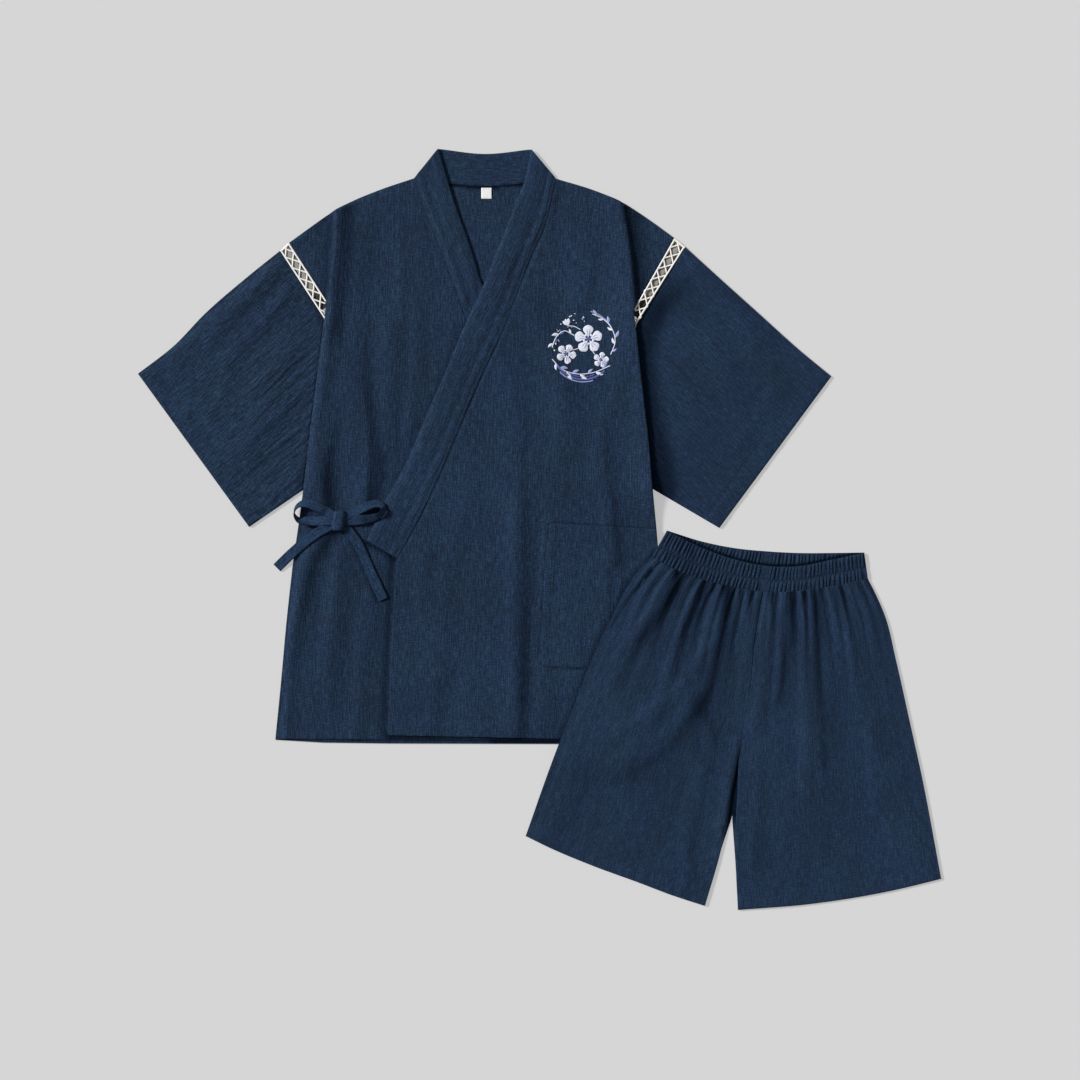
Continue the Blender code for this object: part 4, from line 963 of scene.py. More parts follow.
def build_collar_arm(name, free, seam_rows, seam_column, rests, seed, lift, free_roll, seam_roll, beside_seam):
    seam = np.array([[getattr(row, seam_column + "_x"), getattr(row, seam_column + "_y")] for row in seam_rows])
    length = lengths_along(seam)[-1]
    shares = places(length) / length
    free_edge, seam_edge = curve(free, shares), curve(seam, shares)
    width = mean_width(free_edge, seam_edge)
    across = places(width, 2.0) / width
    plan = ruled(free_edge, seam_edge, across)
    away = from_edges(plan)
    grain = np.stack([away[2], np.broadcast_to((shares * length)[:, None], away[2].shape)], axis=-1)
    low = read(rests, plan[..., 1], "y", "z")
    thick = read(rests, plan[..., 1], "y", "thick")
    relief = 1.1 * crinkle(grain, seed) - 0.35 * bell(away[3], COLLAR_STITCH, 1.5)
    relief += 0.6 * bell(away[3], 9, 4) - 0.5 * bell(away[3], 17, 4)
    relief += 0.4 * bell(away[2], 11, 5) + 0.5 * soft_noise(grain[..., 0] / 11, grain[..., 1] / 80, seed + 4)
    top = low + thick - 0.25 + lift(plan)
    top += np.minimum(beside_seam(plan) - top, 0) * (1 - ease(away[3], 0, 32))
    over = top + relief * ease(lift(plan), -0.01, 0.4)
    # Painted shade in the hollows of the collar
    painted_shade = hollow_shade(over)
    over -= rounded(plan, [(0.9, 3), (0.6, 2.4), free_roll, seam_roll])
    stitch_along(name, plan, 3, COLLAR_STITCH)
    return shell(
        name, on_jacket(plan), low, np.maximum(over, LEVEL_1 + 0.7), grain + (100 * seed, 0), NAVY, LEVEL_1, painted_shade
    )


def front_beside_collar(plan):
    """The collar falls at its seam to a little above the front that it is sewn to."""
    return over_front_rest(plan) + CLOTH + 0.45


def over_collar_lift(plan):
    return np.full(plan.shape[:-1], 0.5)


def under_collar_lift(plan):
    """The lower arm stands open at the neck and is pressed flat where the other one crosses it."""
    free = np.array(OVER_COLLAR_FREE)
    past = np.interp(plan[..., 1], free[:, 1], free[:, 0]) - plan[..., 0]
    return 1.5 * ease(past, 1, 24) * ease(plan[..., 1], 540, 600)


build_collar_arm(
    "collar_left_over_cloth", OVER_COLLAR_FREE, OVER_FRONT[4:], "edge", OVER_COLLAR_REST, 21, over_collar_lift,
    (2.0, 6), (0.6, 2), front_beside_collar,
)
build_collar_arm(
    "collar_right_under_cloth", UNDER_COLLAR_FREE, UNDER_FRONT[3:], "edge", UNDER_COLLAR_REST, 25, under_collar_lift,
    (0.5, 2), (2.6, 32), lambda plan: 99.0,
)

collar_top = curve(COLLAR_BACK_TOP, np.linspace(0, 1, 50), corners=(1, 3))
back_collar_outline = np.vstack([curve(BACK_NECK, np.linspace(0, 1, 40)), collar_top[::-1][1:-1]])


def back_collar_over(flat):
    own = flat - JACKET_AT
    top = np.interp(own[:, 0], collar_top[:, 0], collar_top[:, 1])
    seam = np.interp(own[:, 0], [-96, -49, 0, 47, 96], [760.5, 752.6, 749.3, 752.6, 760])
    turned = np.stack([own[:, 1], own[:, 0]], axis=-1)
    fall = 1.2 * np.clip(1 - (top - own[:, 1]) / 4, 0, 1) ** 2 + 0.7 * np.clip(1 - (own[:, 1] - seam) / 2.2, 0, 1) ** 2
    return BACK_COLLAR_CLOTH - 0.25 + 0.6 * crinkle(turned, 29) - fall


flat_shell(
    "collar_back_cloth", on_jacket(back_collar_outline), 0.0, back_collar_over,
    lambda flat: (flat - JACKET_AT)[:, ::-1] + (0, 700), NAVY, 2.4,
    # painted shade along the seam with the back panel
    lambda flat: shade_along_edge(flat - JACKET_AT, BACK_NECK, 0.9, 1.3),
)
print("collar:", [name for name in pieces if "collar" in name])

# %% [markdown]
# ## The sleeves
# A sleeve is a folded rectangle, with its warp along its length, so the crinkle runs from the shoulder to the cuff. It
# is deepest near the body, where the sleeve is bunched under the arm, and it fades towards the cuff, which the turned
# hem holds flat. Folds as in the solids start at the seam.

# %% The sleeves
Sleeve = namedtuple("Sleeve", "side lace back_top body_side underarm cuff_low cuff_top top")
SLEEVES = (
    Sleeve(
        "left", (LEFT_LACE_TOP_OUT, LEFT_LACE_LOW_OUT), LEFT_BACK_LACE_TOP_OUT,
        ((-226.1, 502), (-232.9, 448), (-239.6, 391)), (-247.7, 340.2),
        (-318.6, 290.3), (-468.5, 497.0), ((-420.1, 534.6), (-378.0, 578.1), (-317.3, 630.5)),
    ),
    Sleeve(
        "right", (RIGHT_LACE_TOP_OUT, RIGHT_LACE_LOW_OUT), RIGHT_BACK_LACE_TOP_OUT,
        ((208.2, 515), (213.8, 465), (219.6, 413)), (225.5, 341.6),
        (315.9, 288.9), (467.1, 493.5), ((426.1, 527.2), (369.2, 578.3), (312.4, 629.4)),
    ),
)
SLEEVE_FOLDS = {
    "left": crease_rows(
        (1.6, 10, 10, 1, 1, (-290, 628), (-340, 578), (-372, 540)),
        (1.5, 9, 9, 1, 1, (-262, 600), (-315, 552), (-352, 506)),
        (1.3, 9, 9, 1, 1, (-246, 545), (-290, 500), (-318, 470)),
        (1.2, 9, 9, 1, 1, (-247, 470), (-280, 435)),
        (1.0, 11, 11, 1, 1, (-400, 470), (-350, 400)),
    ),
    "right": crease_rows(
        (1.5, 11, 11, 1, 1, (282, 640), (330, 590), (366, 545)),
        (1.3, 10, 10, 1, 1, (250, 596), (300, 545), (330, 510)),
        (1.2, 10, 10, 1, 1, (232, 520), (280, 470)),
        (1.0, 11, 11, 1, 1, (395, 480), (340, 400)),
    ),
}
SLEEVE_CREASES = {
    "left": crease_rows(
        (2.4, 8, 15, 1, 0.6, (-285, 640), (-330, 602), (-375, 562), (-420, 522)),
        (1.8, 14, 6, 1, 0.2, (-268, 604), (-292, 572), (-314, 542)),
        (3.2, 26, 20, 0.3, 1, (-262, 562), (-274, 512), (-284, 472), (-302, 428), (-322, 390)),
        (1.4, 12, 12, 0.4, 1, (-410, 524), (-416, 482), (-404, 448)),
        (1.2, 7, 7, 1, 0.5, (-256, 354), (-300, 322)),
        (-0.9, 4.5, 4.5, 1, 0, (-240, 520), (-300, 462), (-352, 410)),
        (-1.0, 4.0, 4.0, 1, 0, (-243, 496), (-290, 452), (-330, 412)),
        (-1.1, 4.5, 4.5, 1, 0, (-246, 462), (-296, 414), (-336, 378)),
        (-0.9, 4.0, 4.0, 1, 0, (-248, 436), (-290, 398), (-322, 368)),
        (-1.0, 4.0, 4.0, 1, 0, (-250, 408), (-290, 374), (-318, 350)),
        (-0.7, 4.0, 4.0, 1, 0, (-252, 384), (-286, 352), (-308, 332)),
        (0.9, 10, 8, 0.3, 1, (-330, 520), (-350, 480), (-372, 440)),
        (0.8, 9, 9, 0.4, 1, (-300, 600), (-330, 560), (-352, 524)),
    ),
    "right": crease_rows(
        (1.3, 16, 16, 0.4, 1, (290, 640), (340, 590), (380, 550)),
        (-0.7, 8, 8, 1, 0.3, (250, 640), (248, 600), (236, 570)),
        (0.8, 14, 12, 0.3, 1, (300, 520), (330, 470), (350, 420)),
        (0.7, 12, 12, 0.3, 1, (380, 500), (390, 450), (380, 410)),
        (-0.5, 6, 6, 1, 0, (240, 570), (300, 512), (350, 462)),
        (-0.5, 6, 6, 1, 0, (232, 424), (272, 388), (304, 356)),
        (0.9, 9, 9, 0.6, 1, (268, 330), (290, 314), (312, 300)),
    ),
}
SEAM_FALL = {"left": 0.0, "right": 0.6}  # how high the right sleeve stands before it falls away from the body's shadow
SLEEVE_SHADE = {"left": (0.35, 0, 14), "right": (0.66, 20, 47)}  # painted shadow of the body on each sleeve: how dark and how wide
FLAT_BY_SEAM = 12.0
RIB_GRID = 1.8  # closer than elsewhere, for the narrow ribs of the crinkle
SLEEVE_HEM = 22


def build_sleeve(sleeve, seed):
    cotton = ROUGH_NAVY if sleeve.side == "left" else SMOOTH_NAVY
    out = -1 if sleeve.side == "left" else 1
    below = np.array([sleeve.underarm, *sleeve.body_side[::-1], sleeve.lace[1]])
    lengths = lengths_along(below)[-1], np.linalg.norm(np.subtract(*sleeve.lace))
    low_shares = places(lengths[0], RIB_GRID) / lengths[0]
    high_shares = places(lengths[1], RIB_GRID) / lengths[1]
    straight = np.array(sleeve.lace[1]) + np.outer(high_shares, np.subtract(sleeve.lace[0], sleeve.lace[1]))
    beside_body = curve(below, low_shares)
    front_edge = left_side if sleeve.side == "left" else right_side
    beside_body[:, 0] = np.interp(beside_body[:, 1], front_edge[:, 1], front_edge[:, 0])
    body_edge = apart(np.vstack([beside_body, straight[1:]]), TOUCH * out)
    shares = lengths_along(body_edge) / lengths_along(body_edge)[-1]
    cuff = np.array(sleeve.cuff_low) + np.outer(shares, np.subtract(sleeve.cuff_top, sleeve.cuff_low))
    width = mean_width(body_edge, cuff)
    crown = (body_edge[-1], *sleeve.top[::-1], sleeve.cuff_top)
    plan = ruled(body_edge, cuff, places(width) / width, high=crown)
    along = np.subtract(sleeve.cuff_top, sleeve.lace[0])
    along = along / np.linalg.norm(along)
    across = np.array([-along[1], along[0]])
    grain = np.stack([(plan - body_edge[-1]) @ across, (plan - body_edge[-1]) @ along], axis=-1)
    away = from_edges(plan)
    from_body = near_path(plan, [body_edge[0], body_edge[len(low_shares) - 1], body_edge[-1]])[0]
    flat_at_seam = ease(from_body, 0, FLAT_BY_SEAM)
    under = LEVEL_1 + creased(plan, SLEEVE_FOLDS[sleeve.side]) * flat_at_seam
    bunched = (1 - 0.75 * ease(away[2], 20, 190)) * (0.5 + 0.7 * (1 - ease(away[0], 120, 300)))
    wander = 1.3 * soft_noise(grain[..., 0] / 40, grain[..., 1] / 30, seed)
    ribs = soft_noise(grain[..., 0] / 3.0 + wander, grain[..., 1] / 55, seed + 7)
    relief = creased(plan, SLEEVE_CREASES[sleeve.side]) + 1.2 * crinkle(grain, seed) + 0.62 * ribs * bunched
    relief += SEAM_FALL[sleeve.side] * bell(from_body, 9, 9) * ease(plan[..., 1], 650, 590)
    over = under + CLOTH + relief * (0.3 + 0.7 * flat_at_seam) + hem_relief(away[3], SLEEVE_HEM)
    # Painted shade next to the body, standing for its shadow on the sleeve, and in hollows
    strength, full, reach = SLEEVE_SHADE[sleeve.side]
    shade = strength * (1 - ease(from_body, full, reach)) * ease(plan[..., 1], 640, 585)
    painted_shade = np.maximum(hollow_shade(over), shade)
    over -= rounded(plan, [(1.2, 4), (2.0, 8), (1.0, 3), (0.8, 3)])
    stitch_along(f"sleeve_{sleeve.side}_front_cloth", plan, 3, SLEEVE_HEM)
    shell(
        f"sleeve_{sleeve.side}_front_cloth", on_jacket(plan), under, over, grain + (1300 + 300 * out, 0), cotton,
        LEVEL_1, painted_shade,
    )
    rim = np.vstack([
        plan[0], plan[1:, -1], plan[-1, ::-1][1:], [apart(sleeve.back_top, SLANT_SHIFT * out)],
        plan[len(low_shares) - 1 : 0 : -1, 0],
    ])
    kept = np.concatenate([[True], np.linalg.norm(np.diff(rim, axis=0), axis=1) > 0.3])
    flat_shell(
        f"sleeve_{sleeve.side}_back_cloth", on_jacket(rim[kept]), 0.0, CLOTH - 0.05,
        lambda flat: np.stack([(flat - JACKET_AT) @ across, (flat - JACKET_AT) @ along], axis=-1), cotton, 9.0,
        # painted shade on the back of the sleeve near the lace, seen through its openings
        lambda flat: 0.95 * (1 - ease(near_path(flat - JACKET_AT, (sleeve.back_top, sleeve.lace[1]))[0], 14, 26)),
    )


for number, each_sleeve in enumerate(SLEEVES):
    build_sleeve(each_sleeve, 41 + 10 * number)
print({name: len(made.data.polygons) for name, made in pieces.items() if "sleeve" in name})

# %% [markdown]
# ## The lace
# The lace is a ladder insertion: a rail along each edge, and two cords that cross again and again between them. Each
# is swept along its own line with a rounded section, and the material gives the thread its twist. The same strip lies
# in the back too, leaning a little, in a darker copy of the lace that is painted shade. A thin sheet of painted shade
# closes the openings of the strips in front.

# %% White thread
# The colour that painted shade darkens thread towards
THREAD_SHADE_COLOUR = (0.004, 0.005, 0.007)


def thread_material(name, colour, shade, across=0.35, along=1.3, bump=0.5, sheen=0.25):
    """Shiny cotton thread: fine lines along its length, on the cloth map."""
    material = plain_material(name, colour, 0.6)
    tree = material.node_tree
    shader = tree.nodes["Principled BSDF"]
    shader.inputs["Sheen Weight"].default_value = sheen
    shader.inputs["Sheen Roughness"].default_value = 0.4
    cloth = add_node(tree, "ShaderNodeUVMap", uv_map="cloth").outputs["UV"]
    strands = cloth_noise(tree, cloth, across, along * 4, 1.0, 5)
    twist = cloth_noise(tree, cloth, along, across * 2, 1.0, 17)
    tone = weighted(tree, [(strands, 0.6), (twist, 0.7)], -0.15)
    paint_shade(tree, shader, ramp(tree, tone, [(0.2, shade), (0.6, colour)]), THREAD_SHADE_COLOUR, 0.5)
    raise_threads(tree, shader, weighted(tree, [(strands, 0.5), (twist, 0.5)]), bump, 0.0005)
    return material


LACE_WHITE = thread_material("lace_cotton", (0.92, 0.90, 0.85), (0.66, 0.63, 0.58))
# The strip in the back is a darker copy of the lace: painted shade, for the shade under the front strip
LACE_SHADED = thread_material("lace_cotton_in_shade", (0.19, 0.165, 0.14), (0.09, 0.08, 0.07), sheen=0.0)

# %% Lace strips
LACE_REPEAT, SHADE_SHEET_WIDTH = 16.9, 12.6
RAIL_WIDTH, CORD_WIDTH, LACE_THICK = 2.3, 1.95, 1.25


def tube_faces(around, count):
    """The faces of a tube with closed ends. Its points are numbered along one line after another."""
    faces = []
    for k in range(around):
        a, b = k * count, ((k + 1) % around) * count
        faces += [[a + i, b + i, b + i + 1, a + i + 1] for i in range(count - 1)]
    return [*faces, [k * count for k in range(around)][::-1], [k * count + count - 1 for k in range(around)]]


def swept(points, half_widths, thick, around=8):
    """Corners, faces and cloth places of a flat cord along points, with closed ends."""
    points = np.array(points, float)
    forward = np.gradient(points[:, :2], axis=0)
    forward /= np.linalg.norm(forward, axis=1)[:, None]
    side = np.column_stack([-forward[:, 1], forward[:, 0]])
    angles = np.linspace(0, 2 * pi, around, endpoint=False)
    length = lengths_along(points)
    corners, grain = [], []
    for angle in angles:
        offset = side * (np.asarray(half_widths) * np.cos(angle))[:, None]
        corners.append(np.column_stack([points[:, :2] + offset, points[:, 2] + thick / 2 * np.sin(angle)]))
        grain.append(np.column_stack([np.full(len(points), half_widths) * angle, length]))
    return np.vstack(corners), [face[::-1] for face in tube_faces(around, len(points))], np.vstack(grain)


def joined(parts):
    """Many swept forms as one set of corners, faces and cloth places."""
    corners, faces, grain, count = [], [], [], 0
    for part_corners, part_faces, part_grain in parts:
        corners.append(part_corners)
        grain.append(part_grain)
        faces += [[v + count for v in face] for face in part_faces]
        count += len(part_corners)
    return np.vstack(corners), faces, np.vstack(grain)


def side_of(points, start, end):
    """How far points lie to the left of the line from start to end."""
    run = (end - start) / np.linalg.norm(end - start)
    offset = points - start
    return run[0] * offset[:, 1] - run[1] * offset[:, 0]


def runs_inside(inside):
    """The stretches where a row of points is inside, as slices of three points or more."""
    edges = np.flatnonzero(np.diff(np.concatenate([[0], inside.astype(int), [0]])))
    return [slice(start, end) for start, end in edges.reshape(-1, 2) if end - start >= 3]


def build_lace(name, rests, tops, lows, material):
    """A strip between two edges, which lies at the height rests[0] at its top and rests[1] at its foot."""
    top_in, top_out, low_in, low_out = (on_jacket(np.array(p)) for p in (*tops, *lows))
    start, end = (top_in + top_out) / 2, (low_in + low_out) / 2
    length = np.linalg.norm(end - start)
    along = (end - start) / length
    wide = np.array([-along[1], along[0]])
    if (top_out - top_in) @ wide < 0:
        wide = -wide

    def at_height(line):
        share = np.clip((line - start) @ along / length, 0, 1)
        return np.column_stack([line, rests[0] + (rests[1] - rests[0]) * ease(share, 0, 1) + LACE_THICK / 2])

    parts = []
    inset = RAIL_WIDTH / 2 + 0.1
    for sign, top, low in ((-1, top_in, low_in), (1, top_out, low_out)):
        line = np.linspace(top - wide * sign * inset, low - wide * sign * inset, 60)
        parts.append(swept(at_height(line), np.full(60, RAIL_WIDTH / 2), LACE_THICK, 10))
    turned_end = np.linspace(top_in + along * 1.3, top_out + along * 1.3, 12)
    parts.append(swept(at_height(turned_end), np.full(12, 1.5), LACE_THICK, 8))
    half = abs((top_out - top_in) @ wide) / 2 - RAIL_WIDTH * 0.55
    count = int((length - 2) // LACE_REPEAT)
    s = np.arange(1.5, length + 20, 0.9)
    first = (length - count * LACE_REPEAT) / 2
    for sign in (-1, 1):
        swing = np.arcsin(0.985 * np.sin(pi * (s - first) / LACE_REPEAT + pi / 4)) / (pi / 2)
        line = start + np.outer(s, along) + np.outer(sign * swing * half, wide)
        foot = side_of(line, low_in, low_out) * np.sign(side_of(start[None], low_in, low_out)[0])
        head = side_of(line, top_in, top_out) * np.sign(side_of(end[None], top_in, top_out)[0])
        lift = 0.12 * sign * np.cos(pi * (s - first) / LACE_REPEAT + pi / 4)
        for run in runs_inside((foot > 0.4) & (head > 0.4)):
            parts.append(swept(
                at_height(line[run]) + np.outer(lift[run], (0, 0, 1)), np.full(len(s[run]), CORD_WIDTH / 2),
                LACE_THICK * 0.8, 8
            ))
    open_work = sum(len(part[0]) for part in parts)
    if "front" in name:  # a thin sheet of painted shade, which closes the openings
        middle = np.linspace(start, end - along * 2, 40)
        parts.append(
            swept(np.column_stack([middle, np.full(40, LEVEL_1 + 0.1)]), np.full(40, SHADE_SHEET_WIDTH / 2), 0.4, 16)
        )
    corners, faces, grain = joined(parts)
    # Painted shade on that sheet, darker towards its sides and its foot; the open work keeps its own colour
    own = corners[:, :2] - start
    sheet_shade = 0.66 + 0.3 * np.maximum(ease(np.abs(own @ wide), 3.4, 5.0), ease(own @ along / length, 0.66, 0.80))
    made = finish_piece(name, corners, faces, grain, material, sheet_shade * (np.arange(len(corners)) >= open_work))
    print(name, "openings:", count)
    return made


for side, rise, tops, back_tops, lows in (
    (
        "left", (0.4, 1.4), (LEFT_LACE_TOP_IN, LEFT_LACE_TOP_OUT),
        (LEFT_BACK_LACE_TOP_IN, LEFT_BACK_LACE_TOP_OUT), (LEFT_LACE_LOW_IN, LEFT_LACE_LOW_OUT),
    ),
    (
        "right", (0.6, 3.0), (RIGHT_LACE_TOP_IN, RIGHT_LACE_TOP_OUT),
        (RIGHT_BACK_LACE_TOP_IN, RIGHT_BACK_LACE_TOP_OUT), (RIGHT_LACE_LOW_IN, RIGHT_LACE_LOW_OUT),
    ),
):
    build_lace(f"lace_{side}_front_thread", (LEVEL_1 + rise[0], LEVEL_1 + rise[1]), tops, lows, LACE_WHITE)
    build_lace(f"lace_{side}_back_thread", (0, 0), back_tops, lows, LACE_SHADED)

# %% [markdown]
# ## The tie and its bow
# The tie is a narrow sewn tube, pressed flat. In the bow it lies on edge where it turns, so each run has a tilt as
# well as a height. A section with a shallow groove down its middle, and slightly raised sewn edges, is swept along
# smooth stations. The knot is the same tube wrapped round, so it is a small barrel with slanting wraps.

# %% The tie
RIBBON_WIDTH, RIBBON_CLOTH, RIBBON_CLEAR = 13.5, 1.7, 0.6
TIE_RUNS = {
    "bow_loop_left": table(
        "x y z tilt",
        (-203.0, 305.0, 9.0, 14), (-222.0, 315.2, 8.0, 15), (-241.5, 322.0, 7.6, 28), (-253.2, 317.8, 8.4, 62),
        (-257.0, 308.5, 8.6, 90), (-252.2, 300.6, 8.0, 124), (-238.0, 298.6, 7.0, 160), (-222.0, 298.6, 7.2, 168),
        (-203.0, 298.6, 8.4, 170),
    ),
    "bow_loop_right": table(
        "x y z tilt",
        (-193.0, 303.2, 9.0, -8), (-172.0, 312.6, 7.6, -12), (-157.0, 319.2, 7.6, -20), (-144.0, 321.2, 8.6, -36),
        (-136.4, 316.4, 9.8, -50), (-139.8, 307.8, 9.6, -50), (-153.0, 302.2, 8.4, -36), (-171.0, 299.4, 8.0, -16),
        (-193.0, 298.6, 8.6, -4),
    ),
    "bow_tail_left": table(
        "x y z tilt",
        (-204.8, 293.5, 5.4, 0), (-220.0, 286.0, 4.7, 0), (-236.0, 275.5, 4.6, 0), (-252.0, 262.5, 5.2, 0),
        (-263.0, 252.5, 4.9, 0), (-272.0, 244.0, 2.7, 0), (-281.0, 235.2, 1.3, 0),
    ),
    "bow_tail_right": table(
        "x y z tilt",
        (-191.6, 292.5, 6.2, 0), (-181.6, 282.0, 5.6, 0), (-172.8, 269.5, 5.2, 0), (-163.0, 249.2, 5.0, 0),
        (-151.5, 222.9, 5.0, 0), (-137.6, 192.6, 5.0, 0),
    ),
}
# The section of the sewn tube: share of the half width, and share of the half thickness
TUBE_SECTION = (
    (-1.0, -0.25), (-0.85, -0.9), (-0.4, -1.0), (0.0, -1.0), (0.4, -1.0), (0.85, -0.9), (1.0, -0.25),
    (1.0, 0.35), (0.88, 0.95), (0.62, 0.80), (0.3, 0.62), (0.0, 0.55), (-0.3, 0.62), (-0.62, 0.80), (-0.88, 0.95),
    (-1.0, 0.35),
)
ribbon_lengths = {}


def height_finder(*names):
    """A function that finds the highest of the named pieces at each place, in mm, and 0 where there is none."""
    graph = bpy.context.evaluated_depsgraph_get()
    trees = [BVHTree.FromObject(pieces[name], graph) for name in names]

    def find(places_on_floor):
        tops = []
        for x, y in np.asarray(places_on_floor)[..., :2].reshape(-1, 2):
            hits = [tree.ray_cast(Vector((x * MM, y * MM, 0.1)), Vector((0, 0, -1)))[0] for tree in trees]
            tops.append(max((hit.z / MM for hit in hits if hit), default=0.0))
        return np.array(tops).reshape(np.shape(places_on_floor)[:-1])

    return find


under_bow = height_finder(
    "front_right_under_cloth", "front_left_over_cloth", "collar_left_over_cloth", "sleeve_left_front_cloth"
)


def build_ribbon(name, stations, width, seed):
    points = np.array([(s.x + JACKET_AT[0], s.y + JACKET_AT[1], s.z, s.tilt) for s in stations])
    knots = lengths_along(points[:, :3])
    dense = smooth_through(knots, points, np.linspace(0, knots[-1], round(knots[-1] / 1.3)))
    middle, tilts = dense[:, :3], np.radians(dense[:, 3])
    forward = np.gradient(middle, axis=0)
    forward /= np.linalg.norm(forward, axis=1)[:, None]
    level = np.column_stack([-forward[:, 1], forward[:, 0], np.zeros(len(forward))])
    level /= np.linalg.norm(level, axis=1)[:, None]
    way = np.linspace(0, 1, len(dense))
    turned = 0.2 * bell(way, 0.5, 0.13) if "loop" in name else 0.0  # folded in at the turn of a loop
    wide = width * (1 - turned - 0.10 * np.exp(-way * knots[-1] / 9))
    reach = level * (np.cos(tilts) * wide * 0.5)[:, None]
    beneath = np.max([under_bow(middle + reach * share) for share in (-1, -0.5, 0, 0.5, 1)], axis=0)
    least = beneath + wide / 2 * np.abs(np.sin(tilts)) + RIBBON_CLOTH / 2 + RIBBON_CLEAR * (beneath > 0)
    wide_least = np.array([least[max(0, k - 3) : k + 4].max() for k in range(len(least))])
    least = np.array([wide_least[max(0, k - 4) : k + 5].mean() for k in range(len(least))])
    middle[:, 2] = np.maximum(middle[:, 2], least)
    across = level * np.cos(tilts)[:, None] + np.array([0, 0, 1.0]) * np.sin(tilts)[:, None]
    out = np.cross(forward, across)
    out /= np.linalg.norm(out, axis=1)[:, None]
    if out[len(out) // 2, 2] < 0:
        out = -out
    length = lengths_along(middle)
    rings, grain = [], []
    for k, (a, b) in enumerate(TUBE_SECTION):
        pucker = 0.16 * soft_noise(length / 5.5, np.full(len(length), 3.1 * k), seed)
        rings.append(
            middle + (a * wide / 2)[:, None] * across + (b * RIBBON_CLOTH / 2 + pucker * (b > 0))[:, None] * out
        )
        grain.append(np.column_stack([np.full(len(length), a * width / 2 + 30 * (b < 0)), length]))
    count = len(middle)
    ribbon_lengths[name] = length[-1]
    # Painted shade along the sewn edges of the ribbon
    edges = np.repeat([0.6 * (abs(a) == 1) + 0.15 * (abs(a) == 0.88) for a, _ in TUBE_SECTION], count)
    faces, grain = tube_faces(len(TUBE_SECTION), count), np.vstack(grain) + (700 + 60 * seed, 0)
    return finish_piece(f"{name}_cloth", np.vstack(rings), faces, grain, TIE_NAVY, edges)


for number, (run_name, stations) in enumerate(TIE_RUNS.items()):
    build_ribbon(run_name, stations, RIBBON_WIDTH, number + 61)

KNOT_AT, KNOT_HALF, KNOT_REST, KNOT_LEAN = (-197.2, 298.8), (8.4, 13.2, 5.2), 3.8, 1.5
rings, around = 40, 48
corners, grain = [], []
for i in range(rings):
    t = -1 + 2 * i / (rings - 1)
    swell = (1 - 0.55 * t**4) ** 0.5
    for k in range(around):
        angle = 2 * pi * k / around
        x = KNOT_HALF[0] * swell * np.sign(cos(angle)) * abs(cos(angle)) ** 0.6
        z = KNOT_HALF[2] * swell * np.sign(sin(angle)) * abs(sin(angle)) ** 0.8
        slant = x * 0.35 + t * KNOT_HALF[1]
        wrap = 1 - 0.09 * bell(slant, 4.6, 1.0) - 0.08 * bell(slant, -4.4, 1.0)
        wrap -= 0.04 * bell(x + 2.5 + 0.2 * t, 0, 1.1) * (sin(angle) > 0)
        corners.append(
            (KNOT_AT[0] + x * wrap + KNOT_LEAN * t, KNOT_AT[1] + KNOT_HALF[1] * t, KNOT_REST + KNOT_HALF[2] + z * wrap)
        )
        grain.append((x + 40, KNOT_HALF[1] * t + z))
faces = [
    (i * around + k, i * around + (k + 1) % around, (i + 1) * around + (k + 1) % around, (i + 1) * around + k)
    for i in range(rings - 1) for k in range(around)
]
faces += [tuple(range(around))[::-1], tuple(range((rings - 1) * around, rings * around))]
corners = np.array(corners)
corners[:, :2] = on_jacket(corners[:, :2])
finish_piece("bow_knot_cloth", corners, faces, np.array(grain), TIE_NAVY)
print("tie runs, mm:", {name: round(length) for name, length in ribbon_lengths.items()})

# %% [markdown]
# ## The size label
# A folded woven tape, left blank. Its weave is a tight satin, so it is smooth, with faint lines across. It is held by a
# row of stitches at its top edge.

# %% The size label
LABEL_LEFT, LABEL_WIDTH, LABEL_DROP, LABEL_CLOTH = -5.3, 13.9, 14.7, 1.0
LABEL_TAPE = thread_material("label_tape", (0.88, 0.88, 0.87), (0.70, 0.70, 0.69), across=0.5, along=0.8, bump=0.3)
label_top = BACK_NECK[2][1] - 1.5
label_plan = ruled(
    [(LABEL_LEFT, label_top - LABEL_DROP + v) for v in places(LABEL_DROP, 1.2, (0, 0.3, 0.7))],
    [(LABEL_LEFT + LABEL_WIDTH, label_top - LABEL_DROP + v) for v in places(LABEL_DROP, 1.2, (0, 0.3, 0.7))],
    places(LABEL_WIDTH, 1.2, (0, 0.3, 0.7)) / LABEL_WIDTH,
)
own = label_plan - (LABEL_LEFT, label_top)
label_over = LEVEL_1 + LABEL_CLOTH - 0.1 + 0.12 * soft_noise(own[..., 0] / 5, own[..., 1] / 4, 81)
label_over -= rounded(label_plan, [(0.5, 1.4), (0.3, 1), (0.35, 1), (0.35, 1)])
shell("size_label_tape", on_jacket(label_plan), LEVEL_1, label_over, label_plan, LABEL_TAPE)

# %% [markdown]
# ## The shorts
# Each leg is ruled from its side seam to the centre seam and inseam, bent by the waist and by the hem. The elastic
# gathers the waist, so pleats run down from it, each with its own length and height, and finer ones lie between them.
# Lower down, long creases pull from the seat towards the hems. The left half of the shorts lies on the jacket's
# corner, so the height of what lies beneath is added.

